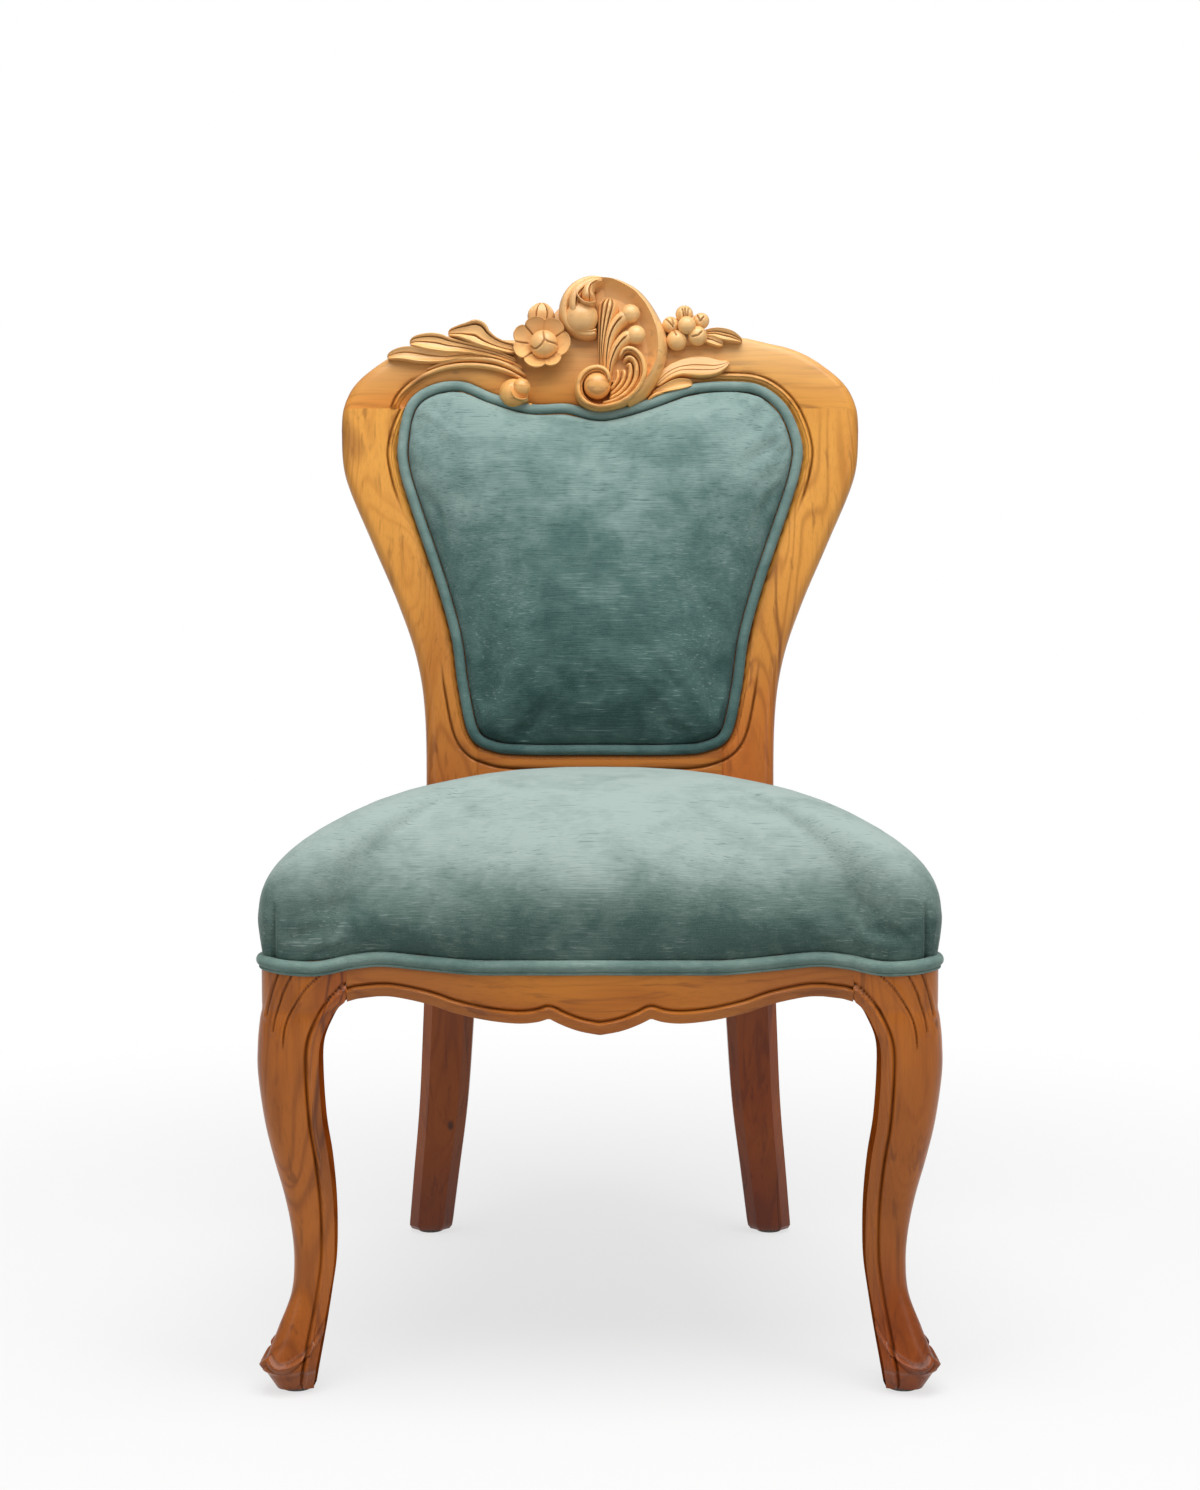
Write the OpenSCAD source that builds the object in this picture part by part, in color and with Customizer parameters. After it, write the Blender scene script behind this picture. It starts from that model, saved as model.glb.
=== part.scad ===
// Dining chair with a carved balloon back, cabriole front legs, a crowned seat and a padded back.
// X runs to the right, Y to the back and Z up. The origin is on the floor in the middle.

/* [Seat frame] */
// Width over the front corners of the seat frame
seat_w = 552; // [520:2:600]
// Width over the back posts at the seat
post_span = 342; // [330:2:360]
// Depth from the front corners to the face of the back posts
seat_d = 437; // [400:1:480]
// Height of the top of the seat rails
seat_top = 382; // [370:1:410]
// Height of the line where the seat cloth meets the wood
welt_z = 350; // [344:1:354]
// Thickness of a seat rail
rail_t = 24; // [20:1:28]
// How far the front rail's hollows lie behind the corners
front_hollow = 15; // [8:1:20]
// How far the middle of the front rail bows out past its hollows
front_bow = 22; // [8:1:30]
// Depth of the step in the rails that the seat cloth sits in
cloth_in = 6; // [4:0.5:7]
// Depth of the middle of the apron below the seat welt
apron_drop = 50; // [40:1:60]
// Depth of the side and rear rails below the seat welt
rail_drop = 26; // [20:1:30]
// Length over which the front rail's hollow runs out at the leg block
hollow_end = 18; // [12:1:24]
// How far the welt rises over the hollows of the front rail
welt_rise = 3; // [0:0.5:5]
// How far the rear rail lies behind the face of the back posts
rear_rail_set = 4; // [3:0.5:8]

/* [Front legs] */
// Width of the square block at the top of a front leg
leg_block = 70; // [64:1:80]
// Radius of the rounded front corner of the block
corner_r = 25; // [18:1:30]
// How far a block's flank falls back where it meets a rail
corner_drop = 14; // [8:1:18]
// Depth of the block below the seat welt
ear_drop = 30; // [26:1:36]
// Distance of the knee below the block
knee_drop = 30; // [20:1:40]
// Width of the knee
knee_w = 53; // [48:1:60]
// Height of the ankle
ankle_z = 112; // [90:1:130]
// How far the ankle lies inside the corner
ankle_in = 24; // [20:1:34]
// Width of the ankle
ankle_w = 34; // [26:1:40]
// Height of the lip of the toe
toe_z = 25; // [20:1:32]
// Width of the toe at its lip
toe_w = 45; // [40:1:50]
// Width of the underside of the foot
foot_w = 31; // [24:1:36]
// How far the underside of the foot lies inside the corner
foot_in = 10; // [8:1:14]
// How far the toe reaches outside the corner
toe_out = 2; // [0:0.5:4]
// How far the knee reaches outside the corner
knee_out = 3; // [0:0.5:4]

/* [Back posts] */
// Inner half width between the posts
post_in = 120; // [112:1:124]
// Width over the rear feet
rear_feet_w = 388; // [370:2:400]
// Width of a rear foot
rear_foot_w = 43; // [38:1:48]
// How far the rear feet stand behind the seat joint
rear_rake = 56; // [30:1:70]
// Thickness of the posts and the back frame
back_t = 34; // [30:1:40]

/* [Back frame] */
// Lean of the back in degrees
back_tilt = 11; // [6:1:14]
// Width over the shoulders
shoulder_w = 514; // [480:2:540]
// Height of the widest part above the seat rails, along the back
shoulder_v = 440; // [420:2:460]
// Height of the ends of the carved stretch above the pad's lobes
end_rise = 34; // [28:1:44]
// How far the ends of the carved stretch lie inside the shoulders
carving_in = 69; // [60:1:80]
// Height of the crest behind the scroll above the pad's lobes
crest_rise = 90; // [80:1:104]
// Depth of the carving in front of the crest rail
carving_d = 24; // [18:1:28]
// Height of the joints between posts and crest rail above the shoulders
joint_rise = 20; // [14:1:26]
// Height of the lower back rail below the pad's opening
low_rail_h = 42; // [36:1:48]

/* [Back pad] */
// Lower edge of the pad's opening
pad_low_v = 110; // [106:1:120]
// Height of the pad's two lobes above the shoulders
lobe_rise = 52; // [44:1:58]
// Depth of the dip between the lobes
dip_drop = 36; // [24:1:44]
// Width of wood beside the pad at the waist
stile_w_low = 37; // [32:1:44]
// Width of wood beside the pad at the shoulders
stile_w_high = 54; // [48:1:60]
// Depth of the rebate that holds the pad
rebate_d = 9; // [7:1:11]
// Depth of the rebate that holds the outside back
rear_rebate_d = 6; // [5:1:8]
// How far the outside back's rebate lies inside the pad's opening
rear_inset = 4; // [3:1:8]
// Width of the ledge inside the rebate
ledge_w = 24; // [20:1:28]
// Crown of the back pad in front of the wood
back_crown = 34; // [20:1:44]

/* [Upholstery] */
// Height of the crown of the seat above the seat rails
seat_crown = 107; // [80:1:120]
// How far the seat cloth bulges past the rails
seat_bulge = 3; // [2:0.5:6]
// Squareness of the crown's edge
crown_power = 2.4; // [2.2:0.2:4]
// Share of the crown lost at the rear edge
rear_fall = 0.4; // [0.3:0.05:0.5]
// Diameter of a welt
welt_d = 10; // [8:1:12]
// Thickness of the velvet cover with its wadding
cover_t = 2; // [1.5:0.1:2.5]
// Thickness of a webbing strip
web_t = 1.4; // [1:0.1:2]
// Width of a webbing strip
web_w = 50; // [40:1:50]
// Thickness of hessian and dust cover
sheet_t = 0.8; // [0.6:0.1:1.2]

/* [Joinery and fixings] */
// Diameter of the seat frame dowels
dowel_d = 10; // [8:1:12]
// Length of the seat frame dowels
dowel_l = 60; // [40:1:64]
// Diameter of the back frame dowels
back_dowel_d = 8; // [6:1:9]
// Length of the back frame dowels
back_dowel_l = 48; // [36:1:52]
// Depth of the upper seat dowels below the top of the rails
dowel_drop = 16; // [14:1:18]
// Distance between two dowels of one seat joint
dowel_pitch = 26; // [22:1:28]
// Distance between two dowels of one crest joint
back_dowel_pitch = 28; // [24:1:30]
// Height of a corner block
block_h = 30; // [24:1:34]
// Depth of a corner block below the top of the rails
block_set = 6; // [4:1:8]
// Reach of a front corner block along its rails
block_reach = 42; // [36:1:50]
// Diameter of a block screw
screw_d = 4; // [3:0.5:5]
// Length of a block screw under its head
screw_l = 28; // [26:1:30]
// Wood left in front of a screw's point
screw_cover = 5; // [4:1:7]
// Distance of the screws from the front rail's ends, the leg block and the back posts
screw_in = 22; // [18:1:24]
// Diameter of a webbing tack's head
tack_head_d = 6; // [5:0.5:8]
// Length of a webbing tack
tack_l = 11; // [9:1:13]
// Diameter of a webbing tack's shank
tack_d = 1.8; // [1.4:0.2:2.4]
// Distance of the tacks from the webbing's ends
tack_in = 6; // [5:0.5:8]
// How far the seat webbing ends inside the front and rear rails' outer faces
web_in = 8; // [7:1:10]
// Diameter of a glide
glide_d = 24; // [20:1:28]
// Thickness of a glide
glide_t = 3; // [2:0.5:4]
// Diameter of a glide's pin
glide_pin_d = 3; // [2:0.5:4]
// Length of a glide's pin
glide_pin_l = 12; // [8:1:16]

/* [Clearances] */
// Gap round a dowel, a screw or a tack
fix_gap = 0.05; // [0.05:0.05:0.1]
// Thickness of a glue line
glue_gap = 0.05; // [0.02:0.01:0.08]
// Gap between soft pieces and their neighbours
soft_gap = 0.35; // [0.3:0.05:0.5]

/* [Hidden] */

wood = [0.69, 0.42, 0.18];
velvet = [0.42, 0.56, 0.55];

// Heights and half widths that several pieces share
corner_x = seat_w / 2;
rail_end = corner_x - leg_block;
block_z = welt_z - ear_drop;
post_x = post_span / 2;
rail_low_z = welt_z - rail_drop;
rail_back_y = front_hollow + rail_t;
rear_rail_y = seat_d + rear_rail_set;
// The posts stand straight down to a little below the side rails
post_straight_z = rail_low_z - 6;
hollow_x = rail_end - hollow_end;
// Heights along the back
joint_v = shoulder_v + joint_rise;
pad_lobe_v = shoulder_v + lobe_rise;
pad_dip_v = pad_lobe_v - dip_drop;
carving_end_v = pad_lobe_v + end_rise;
crest_v = pad_lobe_v + crest_rise;
low_rail_v = pad_low_v - low_rail_h;
// Centre line of the seat welt, outwards from the face of the wood below it
welt_out = soft_gap + welt_d / 2 - cloth_in;

// Curves
function mix(a, b, t) = a + (b - a) * t;
function ease(t) = let (c = min(max(t, 0), 1)) c * c * (3 - 2 * c);
function cubic(a, b, c, d, t) =
    b + (c - a) * t / 2 + (2 * a - 5 * b + 4 * c - d) * t * t / 2
    + (3 * b - a - 3 * c + d) * t * t * t / 2;
function smooth_open(p, n) = let (last = len(p) - 1) [
    for (i = [0:last - 1]) for (k = [0:n - 1])
        cubic(p[max(i - 1, 0)], p[i], p[i + 1], p[min(i + 2, last)], k / n),
    p[last]];
function smooth_closed(p, n) = let (m = len(p)) [
    for (i = [0:m - 1]) for (k = [0:n - 1])
        cubic(p[(i + m - 1) % m], p[i], p[(i + 1) % m], p[(i + 2) % m], k / n)];
function reversed(p) = [for (i = [len(p) - 1:-1:0]) p[i]];
function mirrored(p) = [for (q = reversed(p)) [-q[0], q[1]]];
function without_first(p) = [for (i = [1:len(p) - 1]) p[i]];
function unit(v) = v / norm(v);
function outward(v) = unit([v[1], -v[0]]);
// A closed outline that runs counter-clockwise, grown by d with mitred corners
function grown(p, d) = let (m = len(p)) [
    for (i = [0:m - 1])
        let (a = outward(p[i] - p[(i + m - 1) % m]), b = outward(p[(i + 1) % m] - p[i]), n = unit(a + b))
        p[i] + n * d / max(n * a, 0.5)];
function lifted(p, z) = [for (q = p) [q[0], q[1], z]];

// Solids from rings of points, each ring counter-clockwise and each above the last
module loft(rings) {
    m = len(rings[0]);
    last = len(rings) - 1;
    polyhedron(
        points = [for (r = rings) each r],
        faces = concat(
            [[for (i = [0:m - 1]) i]],
            [for (k = [0:last - 1]) for (i = [0:m - 1]) each
                let (a = k * m + i, b = k * m + (i + 1) % m)
                [[a, a + m, b + m], [a, b + m, b]]],
            [[for (i = [m - 1:-1:0]) last * m + i]]),
        convexity = 6);
}

// A closed skin: rings from the outer hem up to a pole, and from the inner hem up to an inner pole
module skin(outer, inner, outer_pole, inner_pole) {
    m = len(outer[0]);
    h = len(outer);
    base = h * m;
    poles = 2 * base;
    function walls(from, flip) = [for (k = [0:h - 2]) for (i = [0:m - 1]) each
        let (a = from + k * m + i, b = from + k * m + (i + 1) % m)
        flip ? [[a, b + m, a + m], [a, b, b + m]] : [[a, a + m, b + m], [a, b + m, b]]];
    polyhedron(
        points = concat([for (r = outer) each r], [for (r = inner) each r], [outer_pole, inner_pole]),
        faces = concat(
            walls(0, false),
            walls(base, true),
            [for (i = [0:m - 1]) [(h - 1) * m + i, poles, (h - 1) * m + (i + 1) % m]],
            [for (i = [0:m - 1]) [base + (h - 1) * m + i, base + (h - 1) * m + (i + 1) % m, poles + 1]],
            [for (i = [0:m - 1]) each
                let (a = i, b = (i + 1) % m)
                [[a, b, b + base], [a, b + base, a + base]]]),
        convexity = 6);
}

// A dome: rings from a flat underside up to a pole
module dome(rings, pole) {
    m = len(rings[0]);
    h = len(rings);
    polyhedron(
        points = concat([for (r = rings) each r], [pole]),
        faces = concat(
            [[for (i = [0:m - 1]) i]],
            [for (k = [0:h - 2]) for (i = [0:m - 1]) each
                let (a = k * m + i, b = k * m + (i + 1) % m)
                [[a, a + m, b + m], [a, b + m, b]]],
            [for (i = [0:m - 1]) [(h - 1) * m + i, h * m, (h - 1) * m + (i + 1) % m]]),
        convexity = 6);
}

// A round tube along a path that lies nearly flat, with its ends cut square or joined
module welt_tube(path, d, closed = false, sides = 8) {
    m = len(path);
    rings = [for (i = [0:m - 1])
        let (
            before = closed ? path[(i + m - 1) % m] : path[max(i - 1, 0)],
            after = closed ? path[(i + 1) % m] : path[min(i + 1, m - 1)],
            along = unit(after - before),
            side = unit(cross(along, [0, 0, 1])),
            up = cross(side, along))
        [for (k = [0:sides - 1]) let (a = 360 * k / sides) path[i] + d / 2 * (cos(a) * side + sin(a) * up)]];
    spans = closed ? m : m - 1;
    caps = closed ? [] : [[for (k = [0:sides - 1]) k], [for (k = [sides - 1:-1:0]) (m - 1) * sides + k]];
    polyhedron(
        points = [for (r = rings) each r],
        faces = concat(
            [for (i = [0:spans - 1]) for (k = [0:sides - 1]) each
                let (
                    a = i * sides + k, b = i * sides + (k + 1) % sides,
                    c = ((i + 1) % m) * sides + k, d2 = ((i + 1) % m) * sides + (k + 1) % sides)
                [[a, c, d2], [a, d2, b]]],
            caps),
        convexity = 8);
}

// Plan of the seat frame's outer face, measured back from the line of the front corners
function front_y(x) = let (a = abs(x))
    a < hollow_x
    ? front_hollow - front_bow * (1 + cos(180 * a / hollow_x)) / 2
    : mix(front_hollow, corner_drop, ease((a - hollow_x) / (rail_end - hollow_x)));
function side_x(y) = mix(corner_x - corner_drop, post_x, (y - leg_block) / (seat_d - leg_block));
side_slant = atan((corner_x - corner_drop - post_x) / (seat_d - leg_block));
function side_in_x(y) = side_x(y) - rail_t / cos(side_slant);

// Outer contour of a front leg's section, inwards from the corner: near face, inner face, fall, radius
function leg_flank(near, far, fall, r) = [for (t = [1, 2 / 3, 1 / 3, 0])
    [mix(near + r, far, t), near + fall * pow(t, 1.7)]];
function leg_contour(near, far, fall, r) = let (flank = leg_flank(near, far, fall, r)) concat(
    flank,
    [for (a = [60, 45, 30]) [near + r - r * cos(a), near + r - r * sin(a)]],
    [for (q = reversed(flank)) [q[1], q[0]]]);
function leg_section(s) = concat(
    leg_contour(s[1], s[2], s[3], s[4]),
    [[s[2] - s[5], s[2]], [s[2], s[2] - s[5]]]);

corner_points = [for (q = leg_contour(0, leg_block, corner_drop, corner_r)) [corner_x - q[0], q[1]]];
front_points = [for (k = [0:7]) let (x = rail_end * k / 8) [x, front_y(x)]];
// Room that the cloth leaves round the back posts
post_room = seat_bulge + soft_gap + 0.5;
// Width over which the hem climbs from the rail's face to its top beside a post
slit = 9;
function beside_post(p) = p[1] > seat_d - post_room - slit / 2
    && abs(p[0]) > post_in - post_room - slit / 2;
side_points = [for (t = [0.33, 0.66]) let (y = mix(leg_block, seat_d, t)) [side_x(y), y]];
seat_half = concat(
    front_points, corner_points, side_points,
    [[side_x(seat_d - post_room - slit), seat_d - post_room - slit],
     [side_x(seat_d - post_room), seat_d - post_room],
     [post_in - post_room, seat_d - post_room],
     [post_in - post_room, rear_rail_y + rail_t],
     [post_in - post_room - slit, rear_rail_y + rail_t],
     [post_in / 2, rear_rail_y + rail_t]]);
// The same without the two points that shape the hem beside a post
plain_half = concat(
    front_points, corner_points, side_points,
    [[side_x(seat_d - post_room), seat_d - post_room],
     [post_in - post_room, seat_d - post_room],
     [post_in - post_room, rear_rail_y + rail_t],
     [post_in / 2, rear_rail_y + rail_t]]);
function both_halves(h) = concat(h, [[0, rear_rail_y + rail_t]], mirrored(without_first(h)));
seat_plan = both_halves(seat_half);
plain_plan = both_halves(plain_half);
// How far the seat welt lies above its line at a point of the plan
function welt_wave(p) = welt_rise * (1 - ease((p[1] - corner_drop) / leg_block))
    * (1 - cos(360 * min(abs(p[0]) / rail_end, 1) * 0.55)) / 2;

// Whole chair, brought from the line of the front corners to the origin
front_reach = front_bow - front_hollow + welt_out + welt_d / 2;
rear_reach = seat_d + crest_v * sin(back_tilt) + back_t * cos(back_tilt);
origin_y = (front_reach - rear_reach) / 2;
// Face of the step, from the middle of the front rail to behind the posts
step_plan = grown(seat_plan, -cloth_in);
step_half = concat(
    [for (i = [0:len(seat_half) - 1]) if (seat_half[i][1] < seat_d - post_room - slit - 1) step_plan[i]],
    [[side_x(seat_d) - cloth_in / cos(side_slant), seat_d], [post_in, seat_d + 1], [post_in, 2 * seat_d]]);
// What the step for the seat cloth takes off the outer faces of legs and rails
module cloth_step() {
    placed() translate([0, 0, welt_z - welt_d / 2]) linear_extrude(seat_top) difference() {
        translate([-seat_w, -seat_d]) square([2 * seat_w, 3 * seat_d]);
        polygon(concat(step_half, [[0, 2 * seat_d]], mirrored(without_first(step_half))));
    }
}
module placed() { translate([0, origin_y, 0]) children(); }
// The back's own frame: X across, Y up along the back, Z out of its face
module on_back() { placed() translate([0, seat_d, seat_top]) rotate([90 - back_tilt, 0, 0]) children(); }
module both_sides() {
    children();
    mirror([1, 0, 0]) children();
}

// Outer edge of the back from the seat to the shoulder: share of height, share of swell
back_sweep = [[-0.1, 0], [0.1, 0], [0.33, 0.02], [0.47, 0.12], [0.6, 0.34], [0.74, 0.64], [0.89, 0.945],
    [1, 1]];
waist_half = post_x - 1;
shoulder_half = shoulder_w / 2;
carving_half = shoulder_half - carving_in;
back_edge = smooth_open([for (s = back_sweep)
    [s[0] * shoulder_v, mix(waist_half, shoulder_half, s[1])]], 3);
shoulder_arc = [for (s = [[0.97, 0.28], [0.8, 0.57], [0.35, 0.87], [0, 1]])
    [mix(carving_half, shoulder_half, s[0]), mix(shoulder_v, carving_end_v, s[1])]];
shoulder_line = smooth_open(concat([[shoulder_half, shoulder_v]], shoulder_arc), 3);
edge_line = concat([for (q = back_edge) [q[1], q[0]]], without_first(shoulder_line));
function edge_x(v) = lookup(v, [for (q = edge_line) [q[1], q[0]]]);

// Opening for the back pad, as the outer edge of its welt
function stile_w(v) = mix(stile_w_low, stile_w_high, ease((v - pad_low_v) / (shoulder_v - pad_low_v)));
function pad_side(v) = [edge_x(v) - stile_w(v), v];
pad_sides = [for (t = [0.2, 0.35, 0.5, 0.63, 0.75, 0.86, 0.95]) pad_side(mix(pad_low_v, shoulder_v, t))];
pad_corner = edge_x(pad_low_v) - stile_w(pad_low_v);
pad_top_x = shoulder_half - stile_w_high;
function pad_top(a, b) = [pad_top_x * a, mix(pad_dip_v, pad_lobe_v, b)];
pad_right_top = [pad_top(0.93, 0.25), pad_top(0.8, 0.9), pad_top(0.63, 1.02), pad_top(0.43, 0.86),
    pad_top(0.22, 0.34), pad_top(0.01, 0)];
pad_left_top = [pad_top(-0.16, 0.24), pad_top(-0.34, 0.23), pad_top(-0.52, 0.54), pad_top(-0.68, 0.98),
    pad_top(-0.84, 0.97), pad_top(-0.96, 0.5)];
pad_bottom = [[0.5 * pad_corner, pad_low_v], [0.78 * pad_corner, pad_low_v + 3],
    [0.95 * pad_corner, pad_low_v + 19]];
pad_outline = smooth_closed(concat(
    [[0, pad_low_v]], pad_bottom, pad_sides, pad_right_top, pad_left_top,
    mirrored(pad_sides), mirrored(pad_bottom)), 2);

module pad_prism(inset, from, to) {
    translate([0, 0, from]) linear_extrude(to - from) polygon(grown(pad_outline, -inset));
}
// What the pads take out of the back frame
module pad_cuts() {
    pad_prism(ledge_w, -back_t - 1, 1);
    pad_prism(0, -rebate_d, 1);
    pad_prism(rear_inset, -back_t - 1, rear_rebate_d - back_t);
}

// Dowels and screws, made larger by a gap where they cut their holes
dowel_heights = [seat_top - dowel_drop, seat_top - dowel_drop - dowel_pitch];
// Middle of a side rail's top, which the cloth step narrows
function side_dowel_x(y) = (side_x(y) + side_in_x(y) - cloth_in) / 2;
module dowel(d, l, gap) {
    translate([0, 0, -l / 2 - gap]) cylinder(d = d + 2 * gap, h = l + 2 * gap, $fn = 48);
}
module seat_dowels(gap = 0) {
    placed() both_sides() for (z = dowel_heights) {
        translate([rail_end, mix(corner_drop, rail_back_y, 0.5), z]) rotate([0, 90, 0])
            dowel(dowel_d, dowel_l, gap);
        translate([side_dowel_x(leg_block + dowel_l / 4), leg_block, z]) rotate([90, 0, 0])
            dowel(dowel_d, dowel_l, gap);
        translate([side_dowel_x(seat_d - dowel_l / 4), seat_d, z]) rotate([90, 0, 0])
            dowel(dowel_d, dowel_l, gap);
        translate([post_in, rear_rail_y + rail_t / 2, z]) rotate([0, 90, 0]) dowel(dowel_d, dowel_l, gap);
    }
}
crest_dowel_x = edge_x(joint_v + back_dowel_l / 2) - 1.5 * back_dowel_d - back_dowel_pitch / 2;
module back_dowels(gap = 0) {
    on_back() translate([0, 0, -back_t / 2]) both_sides() {
        for (s = [-0.5, 0.5]) translate([crest_dowel_x + s * back_dowel_pitch, joint_v, 0])
            rotate([90, 0, 0]) dowel(back_dowel_d, back_dowel_l, gap);
        for (v = [0.3, 0.75]) translate([post_in, mix(low_rail_v, pad_low_v, v), 0]) rotate([0, 90, 0])
            dowel(back_dowel_d, back_dowel_l, gap);
    }
}

// Corner blocks
block_z0 = seat_top - block_set - block_h;
block_side_y = leg_block + block_reach;
rear_block_y = seat_d - block_reach;
screw_z = (dowel_heights[0] + dowel_heights[1]) / 2;
screw_head_d = 2 * screw_d;
screw_head_t = 0.75 * screw_d;
module screw(gap = 0) {
    cylinder(d = screw_d + 2 * gap, h = screw_l + gap, $fn = 32);
    translate([0, 0, -screw_head_t]) cylinder(d = screw_head_d + 2 * gap, h = screw_head_t, $fn = 32);
}
// Each screw's head lies this far behind the wood that its shank enters
screw_set = screw_l - (rail_t - cloth_in - screw_cover);
// Where a screw enters the front rail, the side rail's two ends and the post
front_screw_x = rail_end - screw_in;
side_screw_ys = [leg_block + screw_in, seat_d - screw_in];
post_screw_x = post_in + screw_in / 2;
module block_screws(gap = 0) {
    placed() both_sides() {
        translate([front_screw_x, rail_back_y + screw_set, screw_z]) rotate([90, 0, 0]) screw(gap);
        for (y = side_screw_ys) translate([side_in_x(y) - screw_set, y, screw_z]) rotate([0, 90, 0])
            screw(gap);
        translate([post_screw_x, seat_d - screw_set, screw_z]) rotate([-90, 0, 0]) screw(gap);
    }
}
// Counterbores that let the heads into the blocks from their open faces
module head_bores() {
    bore_d = screw_head_d + 1;
    placed() both_sides() {
        translate([front_screw_x, rail_back_y + screw_set, screw_z]) rotate([-90, 0, 0])
            cylinder(d = bore_d, h = block_reach, $fn = 32);
        for (y = side_screw_ys) translate([side_in_x(y) - screw_set, y, screw_z]) rotate([0, -90, 0])
            cylinder(d = bore_d, h = block_reach, $fn = 32);
        translate([post_screw_x, seat_d - screw_set, screw_z]) rotate([90, 0, 0])
            cylinder(d = bore_d, h = block_reach, $fn = 32);
    }
}
module front_block() {
    leg_chamfer = leg_block - corner_drop - rail_t;
    difference() {
        placed() translate([0, 0, block_z0]) linear_extrude(block_h) polygon([
            [rail_end - block_reach, rail_back_y],
            [rail_end, rail_back_y],
            [rail_end + leg_chamfer - 1, leg_block - 1],
            [side_in_x(leg_block), leg_block],
            [side_in_x(block_side_y), block_side_y]]);
        block_screws(fix_gap);
        head_bores();
        front_legs_solid();
    }
}
module rear_block() {
    difference() {
        placed() translate([0, 0, block_z0]) linear_extrude(block_h) polygon([
            [side_in_x(seat_d) - block_reach, seat_d],
            [side_in_x(rear_block_y), rear_block_y],
            [side_in_x(seat_d), seat_d]]);
        block_screws(fix_gap);
        head_bores();
    }
}

// Front legs: height, near face, inner face, fall of the flanks, corner radius, inner chamfer
knee_z = block_z - knee_drop;
// From the ankle to the knee: share of height, of the near face and of the inner face
knee_sweep = [[0.86, 1, 1.12], [0.64, 0.83, 0.87], [0.46, 0.59, 0.37], [0.27, 0.29, 0.06], [0.1, 0.1, 0]];
leg_stations = concat(
    [[block_z, 0, leg_block, corner_drop, corner_r, leg_block - corner_drop - rail_t],
     [block_z - 6, 0, leg_block - 7, corner_drop - 2, corner_r, leg_block - corner_drop - rail_t - 5],
     [block_z - 15, -knee_out / 2, mix(leg_block, knee_w, 0.75), 9, 24, 22],
     [knee_z, -knee_out, knee_w - knee_out, 7, 23, 18]],
    [for (s = knee_sweep)
        let (near = mix(ankle_in, -knee_out, s[1]), far = mix(ankle_in + ankle_w, knee_w - knee_out, s[2]))
        [mix(ankle_z, knee_z, s[0]), near, far, mix(4, 7, s[1]), mix(13, 22, s[1]), mix(10, 17, s[1])]],
    [[mix(toe_z, ankle_z, 0.9), ankle_in - 1, ankle_in + ankle_w - 1, 4, 12.5, 10],
     [mix(toe_z, ankle_z, 0.6), mix(0, ankle_in, 0.85), mix(toe_w, ankle_in + ankle_w, 0.65), 4, 13, 10],
     [mix(toe_z, ankle_z, 0.3), mix(0, ankle_in, 0.4), mix(toe_w, ankle_in + ankle_w, 0.35), 5, 15, 12],
     [toe_z, -toe_out, toe_w, 6, 16, 12],
     [mix(glide_t, toe_z, 0.6), foot_in * 0.25, mix(foot_in + foot_w, toe_w, 0.6), 5, 14, 11],
     [glide_t, foot_in, foot_in + foot_w, 4, 10, 8]]);
leg_rings = [for (s = reversed(concat([concat([seat_top], [for (k = [1:5]) leg_stations[0][k]])],
        smooth_open(leg_stations, 2))))
    [for (q = leg_section(s)) [corner_x - q[0], q[1], s[0]]]];
module front_legs_solid() { placed() both_sides() loft(leg_rings); }
module front_leg() {
    difference() {
        placed() loft(leg_rings);
        cloth_step();
        seat_dowels(fix_gap);
        block_screws(fix_gap);
        tacks(fix_gap);
        glides(fix_gap);
    }
}

// Back posts, sawn from the front and from the side
// Each leg station: share of height, share of rake, added thickness
post_rake = [[1, 0, 0], [0.7, 0.1, 2], [0.47, 0.34, 1], [0.24, 0.66, 0], [0, 1, -2]];
post_leg_side = [for (s = post_rake) [mix(glide_t, post_straight_z, s[0]), s[1], s[2]]];
post_side_curve = smooth_open(post_leg_side, 3);
function back_point(v, w) = [seat_d + v * sin(back_tilt) - w * cos(back_tilt),
    seat_top + v * cos(back_tilt) + w * sin(back_tilt)];
post_side_outline = concat(
    [for (s = post_side_curve) [seat_d + rear_rake * s[1] + back_t + s[2], s[0]]],
    [for (s = reversed(post_side_curve)) [seat_d + rear_rake * s[1], s[0]]],
    [[seat_d, seat_top], back_point(joint_v, 0), back_point(joint_v, -back_t), back_point(0, -back_t)]);
rear_foot_x = rear_feet_w / 2;
post_leg_sweep = [[0, 1], [0.19, 0.74], [0.44, 0.4], [0.71, 0.18], [1, 0]];
post_leg_front = smooth_open([for (s = post_leg_sweep) [mix(glide_t, post_straight_z, s[0]), s[1]]], 2);
post_front_outline = concat(
    [for (s = post_leg_front) [mix(post_x, rear_foot_x, s[1]), s[0]]],
    [for (q = edge_line) if (q[1] > 0 && q[1] < carving_end_v - 1) [q[0], seat_top + q[1] * cos(back_tilt)]],
    [[post_in, seat_top + carving_end_v]],
    [for (s = reversed(post_leg_front)) [mix(post_in, rear_foot_x - rear_foot_w, s[1]), s[0]]]);
module back_post() {
    difference() {
        placed() intersection() {
            translate([0, 2 * seat_d, 0]) rotate([90, 0, 0]) linear_extrude(2 * seat_d)
                polygon(post_front_outline);
            rotate([90, 0, 90]) linear_extrude(seat_w) polygon(post_side_outline);
        }
        on_back() pad_cuts();
        seat_dowels(fix_gap);
        back_dowels(fix_gap);
        block_screws(fix_gap);
        tacks(fix_gap);
        glides(fix_gap);
    }
}

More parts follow.
